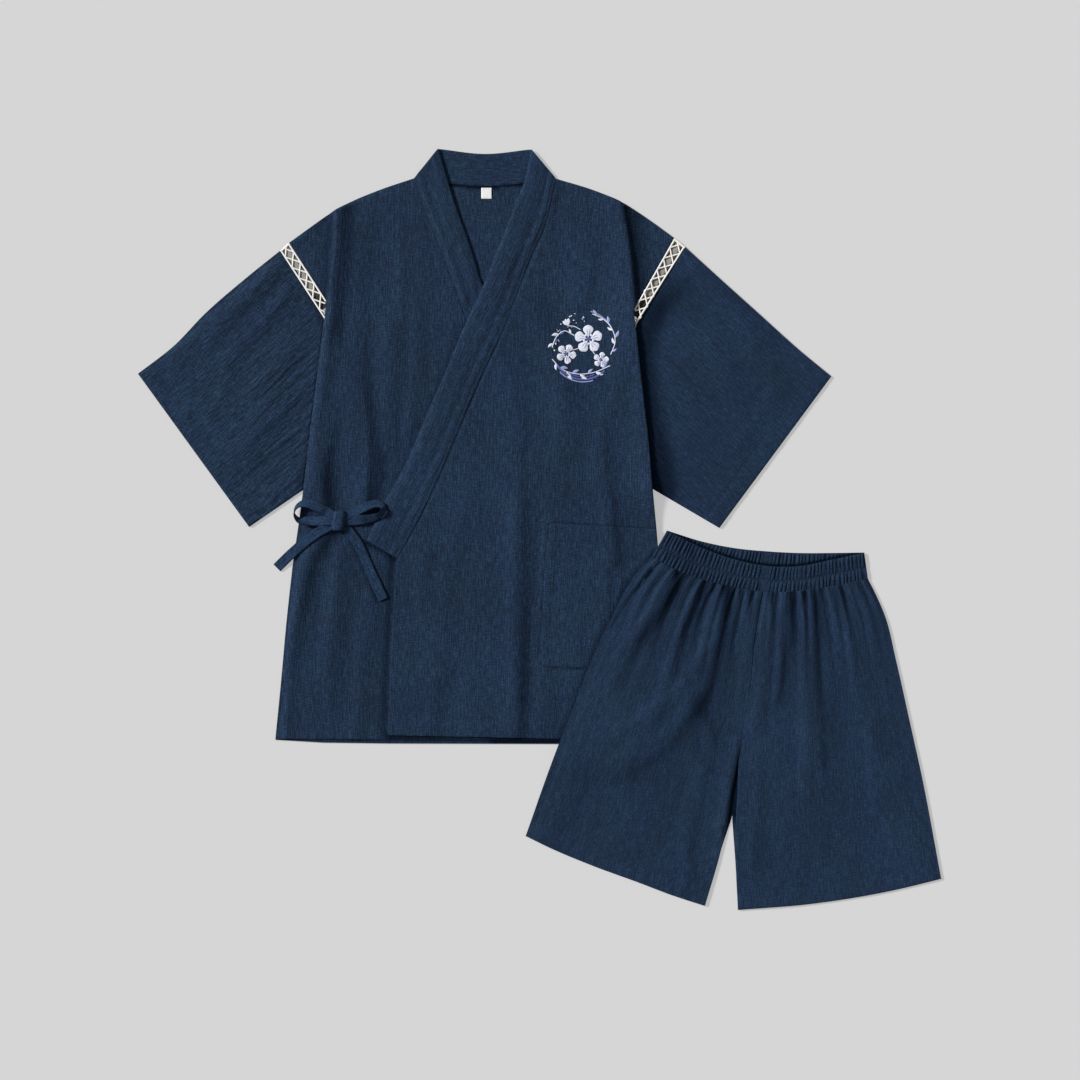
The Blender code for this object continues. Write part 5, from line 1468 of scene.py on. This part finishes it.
# %% The shorts' outlines
SHORTS_AT, SHORTS_TURN = (304.6, -16.4), radians(-7)
WAIST_LEFT, WAIST_RIGHT = (-133.8, -1.5), (134.0, 1.4)
FRONT_WAIST = (WAIST_LEFT, (-82.1, -19.2), (-37.2, -29.1), (7.0, -32.3), (50.0, -27.1), (91.9, -13.2), WAIST_RIGHT)
BACK_WAIST = (WAIST_LEFT, (-83.2, -10.6), (-39.1, -13.9), (4.4, -12.9), (47.9, -9.8), (90.9, -4.5), WAIST_RIGHT)
BAND_LEFT, BAND_RIGHT = (-149.6, -39.7), (143.3, -33.1)
CENTRE_TOP, FORK, BACK_FORK = (5.0, -67.4), (-0.3, -286.8), (0.8, -374.6)
BAND_SEAM = (
    BAND_LEFT, (-113.0, -53.6), (-76.9, -61.4), (-32.6, -66.4), CENTRE_TOP, (54.0, -60.1), (96.3, -48.8),
    BAND_RIGHT,
)
BACK_CENTRE_TOP = (4.0, -50.5)
BACK_BAND_SEAM = (BAND_LEFT, (-80.0, -47.0), BACK_CENTRE_TOP, (90.0, -44.0), BAND_RIGHT)
CENTRE_SEAM = (CENTRE_TOP, (2.1, -135.6), (4.1, -205.4), FORK)
SIDE_SEAMS = {
    "left": (
        BAND_LEFT, (-163.0, -56.2), (-176.8, -80.9), (-194.2, -127.9), (-208.5, -170.6), (-217.0, -201.0),
        (-229.5, -251.4), (-243.7, -305.8), (-272.6, -433.9),
    ),
    "right": (
        BAND_RIGHT, (155.6, -51.2), (172.3, -79.8), (194.7, -138.2), (221.6, -213.7), (248.2, -289.0),
        (290.9, -422.8),
    ),
}
INSEAMS = {
    "left": (FORK, (-3.6, -337.5), (-4.5, -378.0), (-8.8, -421.2), (-21.1, -498.0)),
    "right": (FORK, (3.6, -337.5), (6.4, -380.0), (14.6, -444.6), (23.9, -498.0)),
}
HEMS = {
    "left": ((-272.6, -433.9), (-235.1, -446.8), (-180.8, -461.9), (-113.3, -477.7), (-68.2, -488.8), (-21.1, -498.0)),
    "right": ((290.9, -422.8), (232.4, -444.9), (169.3, -464.9), (105.8, -481.4), (63.0, -490.2), (23.9, -498.0)),
}
GATHERS = table(
    "share length height",
    (0.045, 70, 2.3), (0.130, 96, 2.8), (0.215, 62, 2.1), (0.300, 120, 3.0), (0.385, 80, 2.4),
    (0.470, 150, 3.0), (0.555, 72, 2.2), (0.640, 110, 2.7), (0.725, 84, 2.4), (0.810, 130, 2.9),
    (0.895, 66, 2.1), (0.960, 90, 2.3),
)
PLEAT_HALF_WIDTH = 0.045
DRAG_FOLDS = crease_rows(
    (1.8, 9, 9, 1, 1, (-128, -78), (-160, -150)),
    (2.0, 11, 11, 1, 1, (-62, -150), (-95, -215), (-160, -275)),
    (1.6, 10, 10, 1, 1, (-26, -300), (-60, -240)),
    (1.6, 10, 10, 1, 1, (28, -90), (22, -170), (14, -250)),
    (1.8, 12, 12, 1, 1, (52, -110), (78, -200), (92, -320)),
    (1.3, 10, 10, 1, 1, (170, -230), (190, -340)),
)
DARK_SEAM = ((-147.7, -56.8), (-160.7, -77.7), (-170, -92), (-178.5, -108), (-186.4, -124.3))
SHORTS_CREASES = crease_rows(
    (4.4, 16, 9, 1, 0.2, (-118, -62), (-134, -104), (-160, -158), (-174, -200), (-190, -232)),
    (3.4, 12, 7, 1, 0.3, (-84, -60), (-90, -98), (-104, -141), (-107, -190)),
    (4.4, 18, 9, 1, 0.35,
        (-47, -60), (-45, -107), (-49, -157), (-55, -203), (-78, -245), (-104, -292), (-150, -330),
    ),
    (3.0, 8, 5, 1, 0, (-15, -64), (-12, -103), (-12, -128)),
    (2.4, 8, 5, 1, 0.2, (15, -64), (19, -117), (17, -155)),
    (4.0, 10, 6, 1, 0.4, (38, -60), (41, -114), (41, -155), (39, -208)),
    (3.6, 16, 9, 0.8, 0.35, (64, -58), (80, -141), (90, -194), (103, -254), (116, -316)),
    (2.8, 6, 4.5, 1, 0, (76, -54), (82, -94)),
    (3.2, 10, 7, 1, 0.2, (102, -50), (115, -92), (129, -128)),
    (2.4, 6, 4, 1, 0, (-66, -60), (-68, -80), (-73, -98)),
    (2.2, 6, 4, 1, 0, (-28, -64), (-27, -84), (-28, -100)),
    (2.0, 5, 4, 1, 0, (2, -66), (4, -86)),
    (2.0, 5, 4, 1, 0, (54, -60), (57, -84)),
    (2.2, 6, 4, 1, 0, (-100, -56), (-106, -76), (-114, -90)),
    (2.0, 7, 5, 1, 0, (120, -44), (132, -70), (140, -88)),
    (1.8, 14, 12, 0.4, 1, (-116, -190), (-124, -250), (-148, -306)),
    (1.6, 12, 10, 0.5, 1, (-52, -330), (-57, -400), (-50, -470)),
    (1.4, 12, 10, 0.5, 1, (22, -200), (26, -262), (30, -330), (34, -440)),
    (2.8, 12, 3.5, 0.6, 1, (-5, -280), (-8, -330), (-9, -385)),
    (1.2, 14, 12, 0.4, 0.8, (176, -220), (196, -300), (214, -370)),
    (1.0, 12, 12, 0.5, 1, (-214, -300), (-226, -360), (-240, -420)),
    (0.9, 10, 10, 0.3, 1, (96, -380), (98, -420), (94, -470)),
    (-2.4, 3.5, 3, 1, 0, *DARK_SEAM, (-196, -145)),
)
SHORTS_SHADES = crease_rows(
    (0.85, 12, 9, 0.85, 0.2, (-109, -58), (-116, -86), (-126, -111), (-143, -145), (-158, -178), (-168, -215)),
    (0.60, 7, 7, 1, 0, (-71, -62), (-73, -90), (-80, -116), (-86, -144), (-89, -182)),
    (0.70, 10, 9, 1, 0.45, (-44, -62), (-42, -97), (-42, -132), (-46, -167), (-51, -202), (-63, -240)),
    (0.30, 20, 16, 1, 0.5, (-60, -232), (-80, -270), (-115, -308), (-145, -334)),
    (0.40, 4, 4, 1, 0.2, (-14, -66), (-12, -103), (-13, -135)),
    (0.40, 5, 5, 1, 0.1, (15, -66), (26, -102), (34, -143)),
    (0.65, 6, 7, 1, 0.2, (42, -60), (49, -100), (52, -141), (52, -180), (50, -215)),
    (0.55, 7, 9, 1, 0.45, (72, -58), (86, -104), (92, -163), (108, -230), (115, -290)),
    (0.42, 6, 6, 1, 0, (100, -52), (114, -91), (128, -124)),
    (0.40, 4, 4, 1, 0, (-92, -58), (-96, -78), (-103, -98)),
    (0.34, 3, 4, 1, 0, (-28, -64), (-27, -84), (-29, -104)),
    (0.36, 3, 3, 1, 0, (60, -58), (64, -86), (66, -104)),
    (0.92, 2.6, 3, 1, 0.4, *DARK_SEAM, (-193, -139)),
)
LIFT_OVER_JACKET = table(
    "inside z", (-75, 0), (-50, 0.9), (-34, 3.3), (-18, 5.5), (30, 6.4), (60, 7.2), (300, 7.2),
)
SHORTS_HEM, SHORTS_LIFT = 24, LEVEL_1 + SEAM_GAP
body_side = filled_rows(OVER_FRONT, OVER_CORNERS, 12, (0, 6))[0][:, 2:4]


def on_shorts(plan):
    return placed(plan, SHORTS_AT, SHORTS_TURN)


def shorts_rest(plan):
    on_set = on_shorts(plan)
    x, y = on_set[..., 0] - JACKET_AT[0], on_set[..., 1] - JACKET_AT[1]
    inside = np.minimum(np.interp(y, body_side[:, 1], body_side[:, 0]) - x, y + 1.4)
    return read(LIFT_OVER_JACKET, inside, "inside", "z")


def gathered(shares, fall):
    """The pleats' height: round ridges, with narrow gaps between them that close soon below the band."""
    height = np.zeros(np.broadcast(shares, fall).shape)
    for pleat in GATHERS:
        near = np.abs(shares - pleat.share) / PLEAT_HALF_WIDTH
        height += pleat.height * np.clip(1 - near**1.6, 0, 1) * bell(fall, 0, pleat.length)
    return height


def build_leg(side, seed):
    out = -1 if side == "left" else 1
    side_length = lengths_along(SIDE_SEAMS[side])[-1]
    shares = places(side_length) / side_length
    side_line = curve(SIDE_SEAMS[side], shares)
    inner = curve([*CENTRE_SEAM, *INSEAMS[side][1:]], shares)
    band_knots = curve(BAND_SEAM, np.linspace(0, 1, 241))
    middle = np.argmin(np.abs(band_knots[:, 0] - CENTRE_TOP[0]))
    waist = band_knots[: middle + 1] if side == "left" else band_knots[middle:][::-1]
    waist = waist[::6] - (0, TOUCH)
    waist[-1] = inner[0] - (0, TOUCH)
    side_line[0], inner[0] = waist[0], waist[-1]
    width = float(np.linalg.norm(inner[len(inner) // 2] - side_line[len(inner) // 2]))
    across = places(width, 2.3) / width
    plan = ruled(side_line, inner, across, low=waist, high=HEMS[side], hold=6)
    away = from_edges(plan)
    fall = np.linalg.norm(plan - plan[:1], axis=-1)
    grain = np.stack([np.broadcast_to(across * width * 1.15, fall.shape), fall], axis=-1)
    fine = 0.9 * soft_noise(grain[..., 0] / 4.4, fall / 60, seed + 5)
    fine += 0.5 * soft_noise(grain[..., 0] / 2.9, fall / 40, seed + 6)
    gather = gathered(across[None, :], fall) + fine * bell(fall, 0, 62)
    broad = gather + creased(plan, DRAG_FOLDS)
    under = shorts_rest(plan) + SHORTS_LIFT + 0.8 * broad
    relief = creased(plan, SHORTS_CREASES) + 1.15 * crinkle(grain, seed)
    relief += 0.5 * soft_noise(plan[..., 0] / 34, plan[..., 1] / 60, seed + 8)
    over = shorts_rest(plan) + SHORTS_LIFT + CLOTH + broad + relief + hem_relief(away[1], SHORTS_HEM)
    # Painted shade in hollows and along the listed shades
    painted_shade = np.maximum(hollow_shade(over, 6, 0.22), creased(plan, SHORTS_SHADES))
    side_roll = (5.6 if side == "left" else 1.6) * np.clip(1 - away[2] / 14, 0, 1) ** 2
    over -= np.maximum(side_roll, rounded(plan, [(0.3, 1.2), (0.9, 3), (1, 4), (0.5, 1.6)]))
    stitch_along(f"shorts_front_{side}_cloth", plan, 1, SHORTS_HEM, lay=on_shorts)
    shell(
        f"shorts_front_{side}_cloth", on_shorts(plan), under,
        np.maximum(over, shorts_rest(plan) + SHORTS_LIFT + 0.5), grain + (2200 + 500 * out, 0),
        SMOOTH_NAVY, SHORTS_LIFT, painted_shade,
    )

    few = places(side_length, 9, (0, 2)) / side_length
    back_inner = curve(
        [BACK_CENTRE_TOP, *curve([BACK_FORK, *INSEAMS[side][3:]], np.linspace(0, 1, 9))], few, corners=(1,)
    )
    back_waist = curve(BACK_BAND_SEAM, np.linspace(0, 1, 61))
    half = back_waist[:31] if side == "left" else back_waist[30:][::-1]
    half = half - (0, SEAM_GAP)
    side_back = curve(SIDE_SEAMS[side], few)
    side_back[0], back_inner[0] = half[0], half[-1]
    back = ruled(side_back, back_inner, places(width, 9, (0, 2)) / width, low=half[::3], high=HEMS[side], hold=6)
    rest = shorts_rest(back)
    back_fall = np.linalg.norm(back - back[:1], axis=-1)
    back_grain = np.stack([from_edges(back)[2], back_fall], axis=-1)
    # The back halves get painted shade above the hems, where they show between the legs
    shell(
        f"shorts_back_{side}_cloth", on_shorts(back), rest, rest + CLOTH - 0.05 - rounded(back),
        back_grain + (2200 + 500 * out, 900), SMOOTH_NAVY, painted_shade=0.8 * ease(back[..., 1], -395, -372),
    )


for number, side in enumerate(("left", "right")):
    build_leg(side, 91 + 20 * number)
print({name: len(made.data.polygons) for name, made in pieces.items() if "shorts" in name})

# %% [markdown]
# ## The waistband
# The band is gathered on wide elastic, and a row of stitching along it parts two tiers of small ribs. The ribs are
# uneven, as gathers are, and they pinch at the stitching and at the seam. The top is a fold, so the ribs roll over it.
# A small patch at the middle is plain.

# %% The waistband
RIB_HEIGHT, RIB_COUNT, ELASTIC_STITCH, PLAIN_PATCH = 1.1, 54, 0.44, (5, 8)


def build_band(name, top, seam, lift, seed):
    shares = np.linspace(0, 1, 10 * RIB_COUNT + 1)
    top_edge, low_edge = curve(top, shares), curve(seam, shares)
    height = float(np.linalg.norm(top_edge[len(shares) // 2] - low_edge[len(shares) // 2]))
    up = places(height, 1.5, (0, 0.4, 0.9, 1.7)) / height
    plan = ruled(low_edge, top_edge, up)
    length = lengths_along(low_edge)[-1]
    t = np.broadcast_to(up[None, :], plan.shape[:2])
    s = np.broadcast_to(shares[:, None], plan.shape[:2])
    tier = (t > ELASTIC_STITCH).astype(float)
    wander = 0.30 * soft_noise(s * 34, t * 1.2 + 7 * tier, seed)
    wander += 0.14 * soft_noise(s * 90, t * 0.8 + 5 * tier, seed + 1)
    phase = s * RIB_COUNT + wander + 0.35 * tier
    rib = np.abs(np.sin(pi * phase)) ** 0.8
    strength = 0.72 + 0.35 * soft_noise(s * 47, t * 1.2 + 3 * tier, seed + 2)
    plain = ease(np.abs(plan[..., 0] - CENTRE_TOP[0]), *PLAIN_PATCH)
    stitched = bell((t - ELASTIC_STITCH) * height, 0, 1.5)
    swell = np.interp(up, (0, ELASTIC_STITCH * 0.5, ELASTIC_STITCH, 0.75, 1), (0.75, 1.0, 0.5, 1.05, 0.8))[None, :]
    relief = 2.3 * rib * strength * swell * plain * (1 - 0.35 * stitched) - 1.1 * stitched - 0.7 * plain
    relief += 0.4 * plain * np.sin(pi * np.clip(t / ELASTIC_STITCH, 0, 1)) ** 2 * (t < ELASTIC_STITCH)
    grain = np.stack([s * length * 1.4, t * height], axis=-1)
    rest = shorts_rest(plan) + lift
    over = rest + CLOTH - 0.2 + relief + 0.6 * crinkle(grain, seed + 3)
    # Painted shade: a little all over, more in the valleys between ribs and at the stitching, and on the back band just
    # above the front band
    painted_shade = 0.06 + (0.55 * (1 - rib) ** 1.5 * plain + 0.15 * stitched * plain) * (0.6 + 0.5 * swell)
    drop = rounded(plan, [(0.8, 3), (0.8, 3), (0.3, 1.2), (1.5, 4.2)])
    if lift == 0:
        front_top = curve(FRONT_WAIST, np.linspace(0, 1, 60))
        above = plan[..., 1] - np.interp(plan[..., 0], front_top[:, 0], front_top[:, 1])
        painted_shade = np.maximum(painted_shade, 0.9 * bell(np.clip(above - 1, 0, None), 0, 3.6))
    shell(
        name, on_shorts(plan), rest, np.maximum(over - drop, rest + 0.4), grain + (4000, 0), NAVY, painted_shade=painted_shade,
    )


build_band("waistband_back_cloth", BACK_WAIST, BACK_BAND_SEAM, 0, 141)
build_band("waistband_front_cloth", FRONT_WAIST, BAND_SEAM, CLOTH + RIB_HEIGHT + SEAM_GAP, 147)
print("faces so far:", sum(len(made.data.polygons) for made in pieces.values()))

# %% [markdown]
# ## The embroidered roundel
# A roundel of blossoms and leaves is worked on the chest in shiny thread. Satin stitch stands up as a soft cushion of
# parallel threads, so a petal is a swept form that widens and closes again. Stems and rings are narrow rows of the same
# stitch. Everything is laid on the cloth by finding the height of the cloth beneath it.

# %% The embroidered roundel
ROUNDEL_AT = (132.3, 534.6)
LEAF_LEAN = 0.9  # radians between a leaf and its stem
SILK = {
    name: thread_material(f"embroidery_{name}", colour, shade, 0.4, 1.6, 0.6)
    for name, colour, shade in (
        ("white", (0.80, 0.82, 0.90), (0.52, 0.55, 0.70)),
        ("lavender", (0.36, 0.41, 0.68), (0.20, 0.24, 0.48)),
        ("blue", (0.075, 0.10, 0.33), (0.035, 0.05, 0.19)),
    )
}
on_chest = height_finder("front_left_over_cloth")
silk_parts = {colour: [] for colour in SILK}


def worked(colour, spine, half_widths, thick=0.9):
    """One satin-stitched form along a spine, in millimetres from the roundel's middle."""
    spine = on_jacket(np.array(spine, float) + ROUNDEL_AT)
    height = on_chest(spine) + 0.15 + thick * 0.15
    silk_parts[colour].append(swept(np.column_stack([spine, height]), np.array(half_widths, float), thick, 8))


def petal(colour, base, angle, length, half_width, bend=0.0, blunt=0.0, thick=0.9):
    """A petal or a leaf from its base. blunt is 0 for a leaf's point and 1 for a petal's round end."""
    t = np.linspace(0, 1, 9)
    turn = angle + bend * t
    steps = np.column_stack([np.cos(turn), np.sin(turn)]) * length / 8
    spine = np.array(base) + np.vstack([[0, 0], np.cumsum(steps[1:], axis=0)])
    width = half_width * ((1 - blunt) * np.sin(pi * t) ** 0.9 + blunt * np.sin(pi * t**1.6 * 0.97) ** 0.7)
    worked(colour, spine, np.maximum(width, 0.25), thick)


def dot(colour, at, radius):
    spine = np.array(at) + np.outer(np.linspace(-1, 1, 5), (radius, 0))
    worked(colour, spine, radius * np.sqrt(np.clip(1 - np.linspace(-0.96, 0.96, 5) ** 2, 0, 1)), 1.1)


def stem(points, half_width=0.6):
    line = curve(points, np.linspace(0, 1, 34))
    worked("white", line, np.full(34, half_width))
    return line


def blossom(at, radius, turn):
    at = np.array(at, float)
    for k in range(5):
        angle = turn + 2 * pi * k / 5
        petal(
            "white", at + 0.14 * radius * np.array([cos(angle), sin(angle)]), angle, 0.86 * radius, 0.37 * radius, 0, 1
        )
        for side in (-0.16, 0.16):
            petal(
                "lavender", at + 0.3 * radius * np.array([cos(angle + side), sin(angle + side)]), angle + side,
                0.4 * radius, 0.55, 0, 0, 1.5
            )
    dot("blue", at, 0.17 * radius)
    for k in range(5):
        angle = turn + 2 * pi * (k + 0.5) / 5
        dot("white", at + 0.33 * radius * np.array([cos(angle), sin(angle)]), 0.075 * radius + 0.2)


def leafy(colour, points, places_along, length, half_width):
    """A white stem with leaves on its two sides in turn."""
    line = stem(points)
    for k, place in enumerate(places_along):
        i = int(place * 33)
        run = line[min(i + 1, 33)] - line[max(i - 1, 0)]
        angle = np.arctan2(run[1], run[0])
        side = 1 if k % 2 else -1
        size = 0.75 + 0.35 * ((k * 7) % 5) / 4
        petal(colour[k % len(colour)], line[i], angle + side * LEAF_LEAN, length * size, half_width * size, -side * 0.5)


blossom((7, 9), 19, 0.35)
blossom((-23, -11), 13.5, 1.1)
blossom((24, -19), 10.5, 0.1)
for lean in (-0.45, 0, 0.45):
    petal("white", (-20, 27), 2.0 + lean, 10, 2.3, 0, 0.6)
leafy(
    ("white", "lavender"), ((-42, -18), (-30, -31), (-8, -38), (14, -36), (36, -27)),
    (0.1, 0.2, 0.32, 0.42, 0.54, 0.64, 0.76, 0.88), 12, 2.4
)
leafy(
    ("lavender", "white"), ((37, -12), (43, 6), (38, 24), (24, 38), (12, 43)),
    (0.08, 0.22, 0.36, 0.5, 0.64, 0.78, 0.92), 10, 2.0
)
leafy(("white", "blue"), ((-12, 14), (-26, 20), (-36, 12), (-42, -2)), (0.15, 0.35, 0.55, 0.72, 0.9), 9, 1.9)
stem(((-4, 22), (-12, 26), (-20, 27)), 0.55)
stem(((-14, -6), (-4, -2), (0, 2)), 0.55)
stem(((16, -12), (12, -6), (10, 0)), 0.55)
for radius, low, high, colour, half_width in (
    (45.5, 3.75, 5.45, "blue", 1.5), (48.8, 3.95, 5.0, "lavender", 0.7), (42.0, 4.15, 5.1, "blue", 0.8),
    (47.5, 0.55, 1.35, "lavender", 0.6),
):
    angles = np.linspace(low, high, 40)
    worked(colour, np.column_stack([radius * 0.94 * np.cos(angles), radius * np.sin(angles)]), np.full(40, half_width))
scatter = np.random.default_rng(7)
for _ in range(22):
    angle, radius = scatter.uniform(1.5, 3.3), scatter.uniform(30, 46)
    dot(
        "white" if scatter.uniform() < 0.7 else "lavender", (radius * 0.92 * cos(angle), radius * sin(angle)),
        scatter.uniform(0.6, 1.2)
    )
for colour, parts in silk_parts.items():
    corners, faces, grain = joined(parts)
    made = finish_piece(f"embroidery_{colour}", corners, faces, grain, SILK[colour])
    print(made.name, len(made.data.polygons), "faces")

# %% [markdown]
# ## Stitches
# Hems, pocket and collar are sewn with lockstitch in navy thread, about seven stitches to 25 mm. A stitch is short,
# sits in its groove and is thickest in its middle, so a stretched octahedron is enough. Each is laid on the piece that
# it holds, and left out where another piece covers it.

# %% Stitches
STITCH_LENGTH, STITCH_PITCH, STITCH_WIDTH = 2.6, 3.6, 0.6
THREAD_NAVY = thread_material("sewing_thread", (0.010, 0.026, 0.066), (0.005, 0.014, 0.036), 0.3, 0.8, 0.3)
COVERS = {
    "front_right_under_cloth": ("front_left_over_cloth", "collar_left_over_cloth"),
    "collar_right_under_cloth": ("front_left_over_cloth", "collar_left_over_cloth"),
    "front_left_over_cloth": ("shorts_front_left_cloth", "pocket_cloth"),
    "pocket_cloth": ("shorts_front_left_cloth", "waistband_front_cloth"),
    "back_panel_cloth": ("collar_right_under_cloth", "collar_left_over_cloth", "size_label_tape"),
}
neck_line = curve(BACK_NECK, np.linspace(0.13, 0.87, 40)) - (0, 9)
stitch_lines.append(("back_panel_cloth", on_jacket(neck_line)))
label_line = np.column_stack(
    [np.linspace(LABEL_LEFT + 1, LABEL_LEFT + LABEL_WIDTH - 1, 6), np.full(6, label_top - 1.6)]
)
stitch_lines.append(("size_label_tape", on_jacket(label_line)))


def stitches(lines):
    corners, faces, grain = [], [], []
    for name, line in lines:
        own, cover = height_finder(name), height_finder(*COVERS.get(name, (name,)))
        length = lengths_along(line)
        at = np.arange(STITCH_PITCH / 2, length[-1], STITCH_PITCH)
        spots = np.column_stack([np.interp(at, length, line[:, k]) for k in (0, 1)])
        ahead = np.column_stack([np.interp(at + 1, length, line[:, k]) for k in (0, 1)]) - spots
        ahead /= np.linalg.norm(ahead, axis=1)[:, None] + 1e-9
        heights, above = own(spots), cover(spots)
        ends = [own(spots + ahead * STITCH_LENGTH * share) for share in (-0.35, 0.35)]
        for k in np.flatnonzero((heights > 0) & (above < heights + 0.3) & (np.linalg.norm(ahead, axis=1) > 0.5)):
            run = np.array([*ahead[k] * STITCH_LENGTH / 2, (ends[1][k] - ends[0][k]) * 0.7])
            side = np.array([-ahead[k][1], ahead[k][0], 0]) * STITCH_WIDTH / 2
            middle = np.array([*spots[k], heights[k] + 0.1])
            first = len(corners)
            corners += [
                middle + run, middle - run, middle + side, middle - side, middle + (0, 0, 0.3), middle - (0, 0, 0.3)
            ]
            grain += [(0, at[k] + 1), (0, at[k] - 1), (0.3, at[k]), (-0.3, at[k]), (0, at[k]), (0, at[k])]
            faces += [
                [first + a, first + b, first + c]
                for a, b, c in ((0, 2, 4), (2, 1, 4), (1, 3, 4), (3, 0, 4), (2, 0, 5), (1, 2, 5), (3, 1, 5), (0, 3, 5))
            ]
    return corners, faces, grain


for name, lines in (
    ("jacket_stitches", [line for line in stitch_lines if "shorts" not in line[0] and "label" not in line[0]]),
    ("shorts_stitches", [line for line in stitch_lines if "shorts" in line[0]]),
    ("label_stitches", [line for line in stitch_lines if "label" in line[0]]),
):
    made = finish_piece(name, *stitches(lines), THREAD_NAVY)
    print(name, len(made.data.polygons) // 8, "stitches")

# %% [markdown]
# ## What each piece stands for
# Every piece of cloth replaces the solid that it was made on and rides with the set's one body. The size of each
# piece of cloth before it was laid down is stated too.

# %% What each piece stands for
EXTRAS = (
    "embroidery_white", "embroidery_lavender", "embroidery_blue", "jacket_stitches", "shorts_stitches", "label_stitches"
)
for name, made in pieces.items():
    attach(made, "root")
    if name in EXTRAS:
        continue
    node = name.rsplit("_", 1)[0]
    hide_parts(node)


def cut_size(made):
    """Width across the warp and length along it, from the cloth map, in metres."""
    spots = np.empty(len(made.data.loops) * 2, np.float32)
    made.data.uv_layers["cloth"].data.foreach_get("uv", spots)
    return tuple(float(side) for side in np.ptp(spots.reshape(-1, 2), axis=0))


Laid = namedtuple("Laid", "held rests with_pieces", defaults=((),))
HOW_LAID = {
    "back_panel_cloth": Laid("laid", ["floor"]),
    "front_right_under_cloth": Laid("laid", ["back_panel_cloth"]),
    "front_left_over_cloth": Laid(
        "laid", ["front_right_under_cloth", "back_panel_cloth"],
        ("embroidery_white", "embroidery_lavender", "embroidery_blue", "jacket_stitches"),
    ),
    "pocket_cloth": Laid("laid", ["front_left_over_cloth"]),
    "collar_left_over_cloth": Laid("folded", ["front_right_under_cloth"]),
    "collar_right_under_cloth": Laid("folded", ["back_panel_cloth"]),
    "collar_back_cloth": Laid("folded", ["floor"]),
    "sleeve_left_front_cloth": Laid("laid", ["sleeve_left_back_cloth"]),
    "sleeve_left_back_cloth": Laid("laid", ["floor"]),
    "sleeve_right_front_cloth": Laid("laid", ["sleeve_right_back_cloth"]),
    "sleeve_right_back_cloth": Laid("laid", ["floor"]),
    "lace_left_front_thread": Laid("laid", ["lace_left_back_thread"]),
    "lace_left_back_thread": Laid("laid", ["floor"]),
    "lace_right_front_thread": Laid("laid", ["lace_right_back_thread"]),
    "lace_right_back_thread": Laid("laid", ["floor"]),
    "bow_loop_left_cloth": Laid("folded", ["front_right_under_cloth"], ("bow_knot_cloth",)),
    "bow_loop_right_cloth": Laid("folded", ["front_right_under_cloth"]),
    "bow_tail_left_cloth": Laid("laid", ["front_right_under_cloth"]),
    "bow_tail_right_cloth": Laid("laid", ["front_right_under_cloth"]),
    "size_label_tape": Laid("folded", ["back_panel_cloth"], ("label_stitches",)),
    "shorts_front_left_cloth": Laid("gathered", ["shorts_back_left_cloth"], ("shorts_stitches",)),
    "shorts_front_right_cloth": Laid("gathered", ["shorts_back_right_cloth"]),
    "shorts_back_left_cloth": Laid("gathered", ["floor", "front_left_over_cloth"]),
    "shorts_back_right_cloth": Laid("gathered", ["floor"]),
    "waistband_front_cloth": Laid("gathered", ["waistband_back_cloth"]),
    "waistband_back_cloth": Laid("gathered", ["floor"]),
}
LACE_WIDTH, LACE_LENGTHS = 0.0164, {"left": 0.101, "right": 0.119}  # metres
for name, laid in HOW_LAID.items():
    made = pieces[name]
    if name.startswith("bow_"):
        width, length = RIBBON_WIDTH * MM, ribbon_lengths[name.rsplit("_", 1)[0]] * MM
    elif name.startswith("lace_"):
        width, length = LACE_WIDTH, LACE_LENGTHS[name.split("_")[1]]
    else:
        width, length = cut_size(made)
